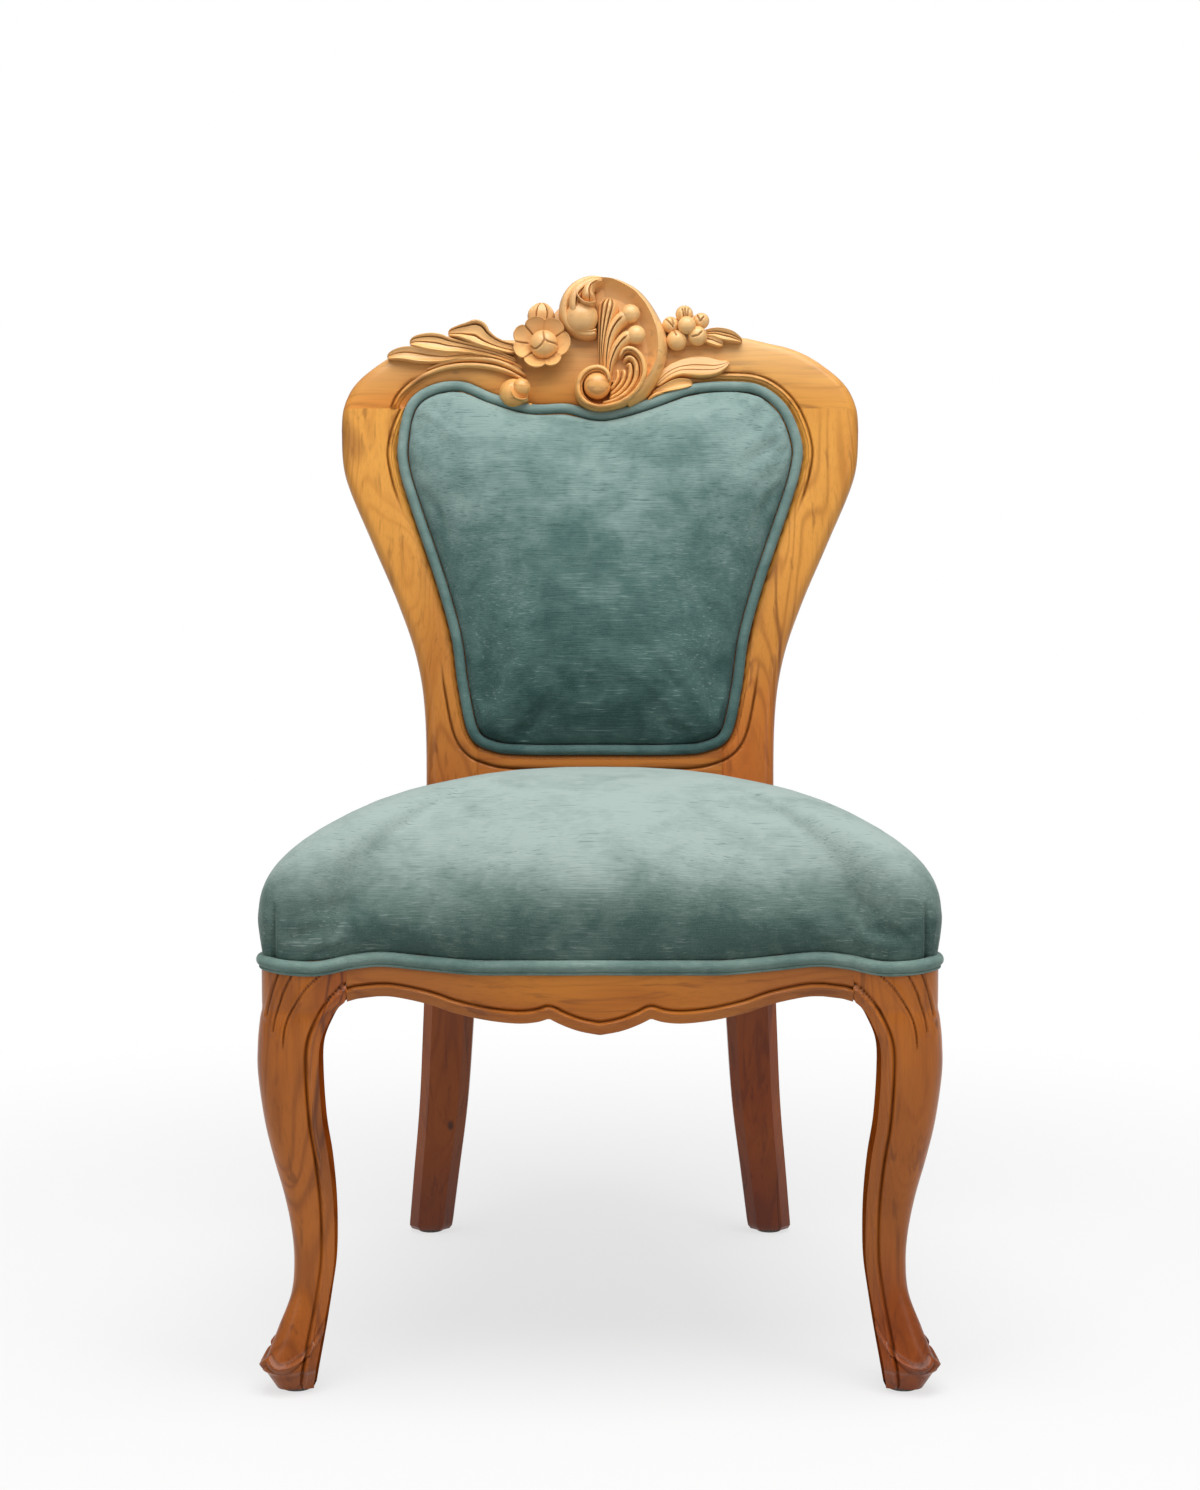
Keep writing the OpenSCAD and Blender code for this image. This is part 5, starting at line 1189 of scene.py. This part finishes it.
bud = [ball("bud_cup", -86.3, 474.6, 14.8, 3, 0.95), ball("bud_ball", -78.4, 478.3, 9, 12.5),
       band("bud_lip", [(-88, 479.5, 1.6, 18), (-88, 472, 2.4, 19.5), (-83.6, 466.4, 2.8, 19),
            (-77, 465, 2.8, 17.5), (-71.5, 467.5, 2.2, 15)]),
       ball("bud_seed", -70, 462, 3, 2)]
carved("bud", "bud_carving", bud)

blossom = [ball("blossom_seat", 88, 541, 17, -3, 0.6), ball("blossom_ball", 87, 541.4, 9.2, 14, 0.95),
           ball("petal_top", 84.6, 554.4, 8.8, 8.5, 1, [[(82, 558), (84, 549)], [(85, 559), (86, 549)],
                [(89, 558), (88, 550)]]),
           ball("petal_upper", 101.5, 547.6, 8.2, 8, 1, [[(97, 552), (100, 545)], [(104, 550),
                (100, 545)]]),
           ball("petal_left", 70.8, 543.8, 8.4, 7, 1, [[(66, 548), (73, 540)], [(72, 550), (74, 542)]]),
           ball("petal_lower_left", 77, 527.8, 10.4, 7.5, 0.95, [[(74, 536), (76, 531)]]),
           ball("petal_lower", 97.5, 531.8, 10, 9, 1, [[(92, 529), (98, 530), (102, 534)]]),
           band("blossom_leaf", [(102, 535, 6, 9), (114, 536, 10, 12), (124, 534, 13, 13),
                (133, 531.6, 11, 13), (142.6, 527.6, 4, 9)], leafy(-0.3, 0.15), across=35),
           band("blossom_leaf_low", [(102, 531, 6, 10), (111, 529, 10, 12), (118.5, 526, 9, 12),
                (124, 524.4, 5, 9)], leafy(0.0), across=31)]
carved("blossom", "blossom_carving", blossom)

def broad_section(s):
    """A leaf that is higher on one side, with two fine slits."""
    return (0.84 + 0.16 * s) * (1 - np.abs(s) ** 16) ** 0.6 - slits(s, (-0.1, 0.35), 0.16, 0.05)


right_leaf = [
    band("broad_leaf", [(55, 483, 8, 6), (68, 494.5, 14, 8), (80, 500, 17, 9), (92, 501.5, 21.5, 9.5),
                        (104, 501.3, 22.5, 9.5), (115, 501.3, 18, 9), (123, 503.2, 11, 8.5),
                        (129.5, 506.6, 4, 7)], broad_section, across=61),
    band("curled_leaf", [(53, 473.5, 4, 7), (64, 478.6, 8, 9), (76, 482.6, 12, 10), (86, 484, 10, 10),
                         (93, 483.4, 5, 9)], leafy(), across=31),
    band("leaf_stem", [(48, 467, 4, 6), (55, 472.5, 4.5, 7.5), (64, 475, 3, 6)]),
]
carved("right_leaf", "right_leaf_carving", right_leaf)

# %% [markdown]
# The seat's cloth follows the seat's plan: the bowed front, the round corners, the straight sides and
# a notch round each post. The plan is drawn once, and cloth, foam and welt are all grown from it.

# %% Seat plan
POST_ROOM, REAR_Y = 3.85, SEAT_D + 4 + RAIL_T
plan_half = [(x, front_y(x)) for x in np.linspace(0, RAIL_END, 60)]
plan_half += [(CORNER_X - a, b) for a, b in leg_contour(0, LEG_BLOCK, 14, 25, 60)[1:]]
welted_half = plan_half + [(side_x(y), y) for y in np.linspace(LEG_BLOCK, SEAT_D - 1.5, 60)[1:]]
plan_half += [(side_x(y), y) for y in np.linspace(LEG_BLOCK, SEAT_D - POST_ROOM, 60)[1:]]
plan_half += [(POST_IN - POST_ROOM, SEAT_D - POST_ROOM), (POST_IN - POST_ROOM, REAR_Y), (0, REAR_Y)]
seat_plan = evenly(plan_half + [(-x, y) for x, y in reversed(plan_half[1:-1])], 560, closed=True)


def plan_tongue(points):
    """True beside the posts, where the hem has to lie on top of the rails."""
    beside = (points[:, 1] > SEAT_D - 14) & (np.abs(points[:, 0]) > POST_IN - 12)
    behind = (points[:, 1] > REAR_Y - 1.5) & (np.abs(points[:, 0]) < POST_IN - POST_ROOM - 1)
    return beside & ~behind


print("seat plan:", np.ptp(seat_plan, axis=0).round(), "mm")

# %% [markdown]
# A cushion is made as an upholsterer fills one. A closed form a little smaller than the real one is
# remeshed evenly and blown up by a cloth simulation, held only at its hem, with gravity off. Its
# movement is capped. The underside is then cut away, and the cover gets the cloth's thickness.

# %% Blowing up a cushion
VOXEL, PRESSURE, CLOTH_FRAMES = 0.005, 4.0, 20


def inflated(piece, held, cap):
    """Blows a closed form up like a cushion, where it isn't held, and by no more than the cap."""
    alone(piece)
    piece.data.remesh_voxel_size = VOXEL
    bpy.ops.object.voxel_remesh()
    start = mesh_points(piece)
    group = piece.vertex_groups.new(name="held")
    group.add([int(i) for i in np.flatnonzero(held(start))], 1.0, "ADD")
    cloth = piece.modifiers.new("cloth", "CLOTH")
    cloth.settings.vertex_group_mass = "held"
    cloth.settings.use_pressure = True
    cloth.settings.uniform_pressure_force = PRESSURE
    cloth.settings.effector_weights.gravity = 0
    cloth.settings.tension_stiffness = cloth.settings.compression_stiffness = 25
    cloth.point_cache.frame_start, cloth.point_cache.frame_end = 1, CLOTH_FRAMES
    for frame_number in range(1, CLOTH_FRAMES + 1):
        bpy.context.scene.frame_set(frame_number)
    bpy.ops.object.modifier_apply(modifier="cloth")
    piece.vertex_groups.clear()
    bpy.context.scene.frame_set(1)
    step = mesh_points(piece) - start
    far = np.linalg.norm(step, axis=1)
    print(piece.name, "moved at most", round(float(far.max()) * 1000, 1), "mm")
    set_points(piece, start + step * np.minimum(1, cap / np.maximum(far, 1e-9))[:, None])
    finer = piece.modifiers.new("finer", "SUBSURF")
    finer.levels = finer.render_levels = 1
    bpy.ops.object.modifier_apply(modifier="finer")
    return piece


def inside(points, outline):
    """Whether flat points lie inside a closed outline."""
    result = np.zeros(len(points), bool)
    for (x0, y0), (x1, y1) in zip(outline, np.roll(outline, -1, 0)):
        crosses = (y0 > points[:, 1]) != (y1 > points[:, 1])
        at = x0 + (x1 - x0) * (points[:, 1] - y0) / (y1 - y0 + 1e-12)
        result ^= crosses & (points[:, 0] < at)
    return result


def edit_faces(piece, chosen):
    """Enters edit mode with only the chosen faces selected."""
    alone(piece)
    bpy.ops.object.mode_set(mode="EDIT")
    bpy.ops.mesh.select_all(action="DESELECT")
    bpy.ops.object.mode_set(mode="OBJECT")
    for face, wanted in zip(piece.data.polygons, chosen):
        face.select = bool(wanted)
    bpy.ops.object.mode_set(mode="EDIT")


def without_faces(piece, unwanted):
    """Cuts away the faces for which the list says true."""
    edit_faces(piece, unwanted)
    bpy.ops.mesh.select_mode(type="FACE")
    bpy.ops.mesh.delete(type="FACE")
    bpy.ops.object.mode_set(mode="OBJECT")


def face_centres(piece):
    """The centres of a piece's faces, in metres."""
    flat = np.empty(len(piece.data.polygons) * 3)
    piece.data.polygons.foreach_get("center", flat)
    return flat.reshape(-1, 3)


def foam_of(piece, name, inset, level, up):
    """The foam under a cover: the cover's form drawn in, with all below a level pressed up flat."""
    foam = copied(piece, name)
    points = mesh_points(foam) - np.array([v.normal for v in foam.data.vertices]) * inset
    below = np.minimum((points - level) @ np.array(up), 0)
    set_points(foam, points - np.outer(below, up))
    bpy.ops.object.shade_smooth_by_angle(angle=math.radians(50))
    return foam


CLOTH_T = 1.5 * MM


def thick_cloth(piece):
    """Gives a cover the cloth's thickness, inwards."""
    alone(piece)
    cloth = piece.modifiers.new("cloth_thickness", "SOLIDIFY")
    cloth.thickness, cloth.offset = CLOTH_T, -1
    bpy.ops.object.modifier_apply(modifier="cloth_thickness")
    bpy.ops.object.shade_smooth_by_angle(angle=math.radians(60))


# %% [markdown]
# The seat's crown is high and full over the front edge, and falls towards the back. Each front corner
# has the upholsterer's pleat, a vertical fold where the surplus cloth is tucked in.

# %% Seat cushion
CROWN_Z, EDGE_Z, HEM_Z = 492, 393, WELT_Z + 3
CROWN_POWER, REAR_FALL, BULGE = 2.52, 0.4, 3.9


def seat_form(plan):
    """The seat before it is blown up: four rows of the wall, then rings over the crown."""
    mid = SEAT_D / 2
    beside = plan_tongue(plan)
    wave = np.array([welt_wave(x, y) for x, y in plan])
    rows = []
    for z, out, sway in ((HEM_Z, -2.8, 1), (HEM_Z + 5, -1, 0.9), (mix(HEM_Z, EDGE_Z, 0.45), 1.8, 0.5),
                         (mix(HEM_Z, EDGE_Z, 0.8), 3.4, 0.2)):
        height = z + wave * sway
        height = np.where(beside, np.maximum(height, SEAT_TOP + 0.6), height)
        rows.append(np.column_stack([grown(plan, out), height]))
    for r in (1, 0.995, 0.985, 0.97, 0.95, 0.92, 0.88, 0.83, 0.76, 0.68, 0.58, 0.46, 0.32, 0.16, 0.02):
        flat = grown(plan, BULGE)
        flat = np.column_stack([flat[:, 0] * r, mid + (flat[:, 1] - mid) * r])
        loss = np.array([1 - REAR_FALL * ease((y - mid) / mid) for y in flat[:, 1]])
        rise = (CROWN_Z - EDGE_Z) * (1 - r ** CROWN_POWER) ** (1 / CROWN_POWER)
        rows.append(np.column_stack([flat, EDGE_Z + rise * loss]))
    return [on_floor_plan(row) for row in rows]


def seat_held(points):
    """True in the hem, and low beside the posts."""
    plan_y = points[:, 1] / MM - FRONT_Y
    beside = (plan_y > SEAT_D - 16) & (np.abs(points[:, 0]) > (POST_IN - 14) * MM)
    lift = welt_wave(points[:, 0] / MM, plan_y)
    return (points[:, 2] < (HEM_Z + 5 + lift) * MM) | (beside & (points[:, 2] < (SEAT_TOP + 6) * MM))


seat_cover = skin("seat_cover_cloth", seat_form(seat_plan))
inflated(seat_cover, seat_held, 0.016)


def pleated(points):
    """Tucks the cloth in at the front corners, along a vertical line that ends in a soft dimple."""
    points = points.copy()
    x, y, z = points[:, 0] / MM, points[:, 1] / MM - FRONT_Y, points[:, 2] / MM
    at_corner = (np.abs(x) > 235) & (y < 60)
    from_fold = np.abs(x) - 263.5 + 0.03 * (z - 375)
    length = np.clip((408 - z) / 14, 0, 1) * np.clip((z - 350) / 4, 0, 1)
    fold = np.clip(1 - np.abs(from_fold) / 2.2, 0, 1) ** 0.8 * 3.2
    swell = np.exp(-((from_fold - 7) / 5) ** 2) * 2.0 - np.exp(-((from_fold + 9) / 9) ** 2) * 0.8
    push = (fold - swell) * length * at_corner
    points[:, 1] += push * MM
    points[:, 0] -= np.sign(x) * push * 0.5 * MM
    return points


centres = face_centres(seat_cover)
near_pleat = (np.abs(np.abs(centres[:, 0]) - 0.263) < 0.012) & (centres[:, 2] < 0.412)
edit_faces(seat_cover, near_pleat & (centres[:, 1] < FRONT_Y * MM + 0.03))
bpy.ops.mesh.subdivide(number_cuts=2, smoothness=0)
bpy.ops.object.mode_set(mode="OBJECT")
set_points(seat_cover, pleated(mesh_points(seat_cover)))
seat_foam = foam_of(seat_cover, "seat_foam_block", 0.0034, (0, 0, 0.3866), (0, 0, 1))
centres = face_centres(seat_cover)
plan_places = np.column_stack([centres[:, 0] / MM, centres[:, 1] / MM - FRONT_Y])
under_plan = inside(plan_places, grown(seat_plan, -5.8))
without_faces(seat_cover, under_plan & (centres[:, 2] < (SEAT_TOP + 8) * MM))
thick_cloth(seat_cover)
dress(seat_cover, "seat_cover", seat_velvet_painted_light)

# %% [markdown]
# The back pad is made in the same way, on the leaning back. It fills its opening inside the welt.

# %% Back pad
PAD_MID = np.array([0, mix(PAD_LOW_V, DIP_V, 0.55)])
HEM_INSET, PAD_CROWN, PAD_POWER = WELT_D + 2 * WELT_GAP, 28, 2.6
PAD_UNDER, PAD_FOAM_UNDER = -8.4, -4.4


def off_back(points):
    """Places in metres, as x, v and w of the leaning back in millimetres."""
    x, y, z = np.moveaxis(np.asarray(points, float) / MM, -1, 0)
    sin, cos = math.sin(LEAN), math.cos(LEAN)
    y, z = y - BACK_Y, z - SEAT_TOP
    return np.stack([x, y * sin + z * cos, z * sin - y * cos], -1)


def pad_form():
    """The back pad before it is blown up: a low wall, then rings over the crown."""
    hem = evenly(grown(pad_outline, -HEM_INSET - 0.4), 380, closed=True)
    rows = [at_depth(hem, w) for w in (PAD_UNDER, -4, 0)]
    for r in (1, 0.99, 0.975, 0.95, 0.92, 0.88, 0.83, 0.76, 0.67, 0.56, 0.43, 0.28, 0.14, 0.02):
        flat = PAD_MID + (hem - PAD_MID) * r
        rows.append(at_depth(flat, 2 + (PAD_CROWN - 2) * (1 - r ** PAD_POWER) ** (1 / PAD_POWER)))
    return rows


back_cover = skin("back_cover_cloth", pad_form())
inflated(back_cover, lambda points: off_back(points)[:, 2] < 0.5, 0.012)
level = on_back([(0, 300, PAD_FOAM_UNDER)])[0]
out_of_face = on_back([(0, 300, 1)])[0] - on_back([(0, 300, 0)])[0]
back_foam = foam_of(back_cover, "back_foam_block", 0.003, tuple(level), tuple(out_of_face / MM))
centres = off_back(face_centres(back_cover))
without_faces(back_cover, centres[:, 2] < PAD_UNDER + 0.4)
thick_cloth(back_cover)
dress(back_cover, "back_cover", velvet_back)

# %% [markdown]
# Welts are cords covered with the same velvet. Each is a tube along its line, with slight puckers. The
# seat's also has a thin flange below it, where two edges of the cloth are sewn together.

# %% Welts
def tube(name, path, radius, level, closed=False, sides=18):
    """A cord along a path. Its rings are set out from a direction that the path never takes."""
    path = np.asarray(path, float)
    if closed:
        along = np.roll(path, -1, 0) - np.roll(path, 1, 0)
    else:
        along = np.gradient(path, axis=0)
    along /= np.linalg.norm(along, axis=1)[:, None]
    rows = []
    puckers = np.random.default_rng(5).uniform(-1, 1, len(path))
    for k, (place, a) in enumerate(zip(path, along)):
        side = np.cross(a, level)
        side /= np.linalg.norm(side)
        up = np.cross(side, a)
        turn = np.linspace(0, 2 * np.pi, sides, endpoint=False)
        r = radius * (1 + 0.012 * puckers[k])
        rows.append(place + r * (np.outer(np.cos(turn), side) + np.outer(np.sin(turn), up)))
    return skin(name, rows, loop=closed, sharp=70)


UPRIGHT, OUT_OF_BACK = (0, 0, 1), (0, -math.cos(LEAN), math.sin(LEAN))
WELT_COUNT, SEAT_WELT_IN = 460, 0.65
THIN_WELT, THIN_WELT_ROOM, THIN_WELT_W = 3.9 * MM, 4, -32.35
SHEET_INSET = LEDGE_LIP + 2 * THIN_WELT_ROOM + 2 * WELT_GAP
back_line = evenly(grown(pad_outline, -WELT_D / 2 - WELT_GAP), WELT_COUNT, closed=True)
back_welt = tube("back_welt_cord", at_depth(back_line, 1.2), WELT_D / 2 * MM, OUT_OF_BACK, closed=True)
dress(back_welt, "back_welt", velvet_welt)

seat_line = [(-x, y) for x, y in reversed(welted_half[1:])] + welted_half
seat_line = evenly(grown(np.array(seat_line), -SEAT_WELT_IN), 620)
seat_line[:, 0][[0, -1]] = welted_half[-1][0] * np.array([-1, 1])
seat_cord = np.array([(x, y, WELT_Z + welt_wave(x, y)) for x, y in seat_line])
flange_out = sideways(seat_line) * 1.5
seat_flange = seat_cord + np.column_stack([flange_out, np.full(len(seat_line), -5.7)])
seat_welt = joined("seat_welt_cord", [tube("cord", on_floor_plan(seat_cord), WELT_D / 2 * MM, UPRIGHT),
                                      tube("flange", on_floor_plan(seat_flange), 0.0013, UPRIGHT, sides=8)])
dress(seat_welt, "seat_welt", seat_welt_velvet_painted_light)

rear_reach = POST_IN - POST_ROOM
rear_cord = np.array([(x, REAR_Y - SEAT_WELT_IN, WELT_Z) for x in np.linspace(-rear_reach, rear_reach, 120)])
rear_welt = tube("rear_seat_welt_cord", on_floor_plan(rear_cord), WELT_D / 2 * MM, UPRIGHT)
dress(rear_welt, "rear_seat_welt", seat_welt_velvet_painted_light)

outside_line = evenly(grown(pad_outline, -LEDGE_LIP - THIN_WELT_ROOM - WELT_GAP), WELT_COUNT, closed=True)
outside_welt = tube("outside_back_welt_cord", at_depth(outside_line, THIN_WELT_W), THIN_WELT, OUT_OF_BACK,
                    closed=True)
dress(outside_welt, "outside_back_welt", velvet_welt)

# %% [markdown]
# The outside back is one flat sheet of velvet, stretched behind the frame and edged with a thin welt.
# It bellies out very slightly, as cloth does over the webbing.

# %% Outside back
def outside_rows():
    """Both faces of the sheet, as rings from the middle out and back to the middle."""
    edge = evenly(grown(pad_outline, -SHEET_INSET), 300, closed=True)
    rows = []
    for face, sign in ((-28.5, 1), (-30.2, -1)):
        shares = np.concatenate([[0.01], np.linspace(0.08, 1, 16)])
        for r in shares if sign > 0 else shares[::-1]:
            flat = PAD_MID + (edge - PAD_MID) * r
            rows.append(at_depth(flat, face - 2.2 * (1 - r ** 2) ** 1.2))
    return rows


outside_back = skin("outside_back_cloth", outside_rows(), sharp=50)
dress(outside_back, "outside_back_cover", velvet_back)
sheet_outline = grown(pad_outline, -SHEET_INSET)


def outline_area(outline):
    """Area inside an outline in millimetres, in square metres."""
    x, y = outline.T
    return abs(float((x * np.roll(y, -1) - y * np.roll(x, -1)).sum())) / 2 * MM * MM


# %% [markdown]
# What the cushions hide is still there: webbing woven over and under, hessian, foam, blocks, screws,
# dowels and tacks. The CAD's own solids keep their shapes and get their own finishes here.

# %% Finishes of the hidden joinery
def weave(place, threads, turn=(0, 0, 0)):
    """Height of a plain weave with so many threads to a metre, 0 to 1."""
    cloth = place.mapped(turn=turn, scale=(threads, threads, threads))
    x = cloth.make("ShaderNodeSeparateXYZ", {"Vector": cloth}, out=0)
    y = cloth.make("ShaderNodeSeparateXYZ", {"Vector": cloth}, out=1)
    over = ((x * math.pi).maths("SINE") * (y * math.pi).maths("SINE")).between(-0.15, 0.15)
    warp = (x * math.pi).maths("SINE").maths("ABSOLUTE")
    weft = (y * math.pi).maths("SINE").maths("ABSOLUTE")
    return over * warp + (1 - over) * weft


def cloth_finish(name, dark, light, threads, turn=(0, 0, 0), deep=0.0004):
    """A plain woven cloth with thick and thin threads."""
    material, place, to = new_finish(name, Roughness=0.9, Sheen_Weight=0.15)
    threads_up = weave(place, threads, turn)
    slubs = place.noise(threads * 0.35, 3, 0.6)
    to("Base Color", (threads_up * 0.6 + slubs * 0.4).colours((0.25, dark), (0.75, light)))
    to("Normal", rough_surface(place, threads_up + slubs * 0.3, 0.7, deep))
    return material


LEANING = (math.pi / 2 - LEAN, 0, 0)
JUTE, HESSIAN = (rgb(120, 92, 60), rgb(196, 168, 126), 480.0), (rgb(128, 100, 66), rgb(190, 160, 112), 620.0)
kept = {
    "seat_webbing": cloth_finish("jute_webbing", *JUTE),
    "back_webbing": cloth_finish("jute_webbing_back", *JUTE, LEANING),
    "seat_hessian": cloth_finish("hessian", *HESSIAN),
    "back_hessian": cloth_finish("hessian_back", *HESSIAN, LEANING),
    "dust_cover": cloth_finish("black_cambric", rgb(24, 24, 26), rgb(58, 58, 62), 900.0, deep=0.0002),
}
foam_finish, place, to = new_finish("upholstery_foam", Roughness=0.95)
cells = place.make("ShaderNodeTexVoronoi", {"Vector": place, "Scale": 520.0})
foam_tone = cells * 0.7 + place.noise(12) * 0.5
to("Base Color", foam_tone.colours((0.2, rgb(196, 172, 104)), (0.75, rgb(238, 222, 164))))
to("Normal", rough_surface(place, cells, 0.6, 0.0008))
steel, place, to = new_finish("zinc_steel", Metallic=1.0)
scratches = place.mapped(scale=(1, 1, 0.2)).noise(900, 3, 0.6)
to("Base Color", scratches.colours((0.3, rgb(150, 150, 148)), (0.7, rgb(206, 206, 202))))
to("Roughness", 0.28 + scratches * 0.25)
glide_finish, place, to = new_finish("nylon_glide", Specular_IOR_Level=0.4)
scuffs = place.noise(300, 4, 0.65)
to("Base Color", scuffs.colours((0.35, rgb(96, 96, 94)), (0.7, rgb(150, 150, 146))))
to("Roughness", 0.4 + scuffs * 0.3)
BEECH = (rgb(222, 190, 146), rgb(200, 162, 116), rgb(150, 110, 74))
beech_block = wood("beech_block", GRAIN_ACROSS, 13.0, *BEECH, 0.0)
beech_dowel = wood("beech_dowel", GRAIN_BACK, 14.5, *BEECH, 0.0)
for node in ("front_left_corner_block", "front_right_corner_block", "rear_left_corner_block",
             "rear_right_corner_block"):
    kept[node] = beech_block
for node in ("seat_frame_dowels", "back_frame_dowels"):
    kept[node] = beech_dowel
for node in ("corner_block_screws", "webbing_tacks"):
    kept[node] = steel
kept["foot_glides"] = glide_finish
kept["rear_seat_rail"] = finishes["rear_seat_rail"]
for node, material in kept.items():
    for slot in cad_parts[node].material_slots:
        slot.material = material
print("CAD nodes kept:", len(kept))

dress(seat_foam, "seat_foam", foam_finish)
dress(back_foam, "back_foam", foam_finish)


BACK_HESSIAN_IN, SEAT_HESSIAN_IN = 13.05, 12


outline_area(grown(pad_outline, -BACK_HESSIAN_IN))
outline_area(grown(seat_plan, -SEAT_HESSIAN_IN))

# %% [markdown]
# Camera, floor and light. The camera stands where the photograph's stood: low, in front, with a
# normal lens. The floor is white to the camera and keeps the chair's soft shadow.

# %% Camera
bpy.ops.object.select_all(action="DESELECT")
CAMERA_PLACE, CAMERA_DOWN = (0, -2.269, 0.6824), 4.27
bpy.ops.object.camera_add(location=CAMERA_PLACE, rotation=(math.radians(90 - CAMERA_DOWN), 0, 0))
camera = bpy.context.object
camera.data.sensor_fit = "VERTICAL"
camera.data.sensor_height = 36
camera.data.lens = 60.0
bpy.context.scene.camera = camera

# %% Light
def soft_box(name, place, aim, size, power):
    """A rectangular lamp that is aimed at a point."""
    bpy.ops.object.light_add(type="AREA", location=place)
    lamp = bpy.context.object
    lamp.name = name
    lamp.data.shape = "RECTANGLE"
    lamp.data.size, lamp.data.size_y = size
    lamp.data.energy = power
    lamp.rotation_euler = (Vector(aim) - Vector(place)).to_track_quat("-Z", "Y").to_euler()


soft_box("overhead", (0.1, -0.7, 2.6), (0, 0, 0.4), (2.2, 1.8), 57)
soft_box("front_left", (-2.2, -2.2, 1.7), (0, 0, 0.5), (1.4, 1.8), 7.5)
soft_box("front_right", (2.3, -2.0, 1.5), (0, 0, 0.5), (1.2, 1.8), 8)

world = bpy.context.scene.world or bpy.data.worlds.new("studio")
bpy.context.scene.world = world
world.use_nodes = True
tree = world.node_tree
tree.nodes.clear()
path = tree.nodes.new("ShaderNodeLightPath")
seen = Wire(tree, path.outputs["Is Camera Ray"])
white = seen.maths("MAXIMUM", Wire(tree, path.outputs["Is Transmission Ray"]))
strength = white.maths("MAXIMUM", 0.36)
background = seen.make("ShaderNodeBackground", {"Color": (1, 1, 1, 1), "Strength": strength})
tree.links.new(background.socket, tree.nodes.new("ShaderNodeOutputWorld").inputs["Surface"])

# %% Floor
bpy.ops.mesh.primitive_plane_add(size=40)
floor = bpy.context.object
floor.name = "floor"
floor_paint, floor_place, to_floor = new_finish("floor_paint", Roughness=0.9, Specular_IOR_Level=0.0,
                                               Emission_Strength=1.0)
tree = floor_paint.node_tree
rays = tree.nodes.new("ShaderNodeLightPath")
seen = Wire(tree, rays.outputs["Is Camera Ray"]).maths("MAXIMUM", Wire(tree, rays.outputs["Is Glossy Ray"]))
seen = seen.maths("MAXIMUM", Wire(tree, rays.outputs["Is Transmission Ray"]))
away = floor_place.make("ShaderNodeVectorMath", {0: floor_place}, out=1, operation="LENGTH").between(0.4, 1.4)
blank = seen * away
to_floor("Base Color", (1 - seen) * 0.5 + (seen - blank) * 0.27)
to_floor("Emission Color", seen * 0.68 + blank * 0.32)
floor.data.materials.append(floor_paint)
bpy.context.scene.view_settings.view_transform = "Standard"
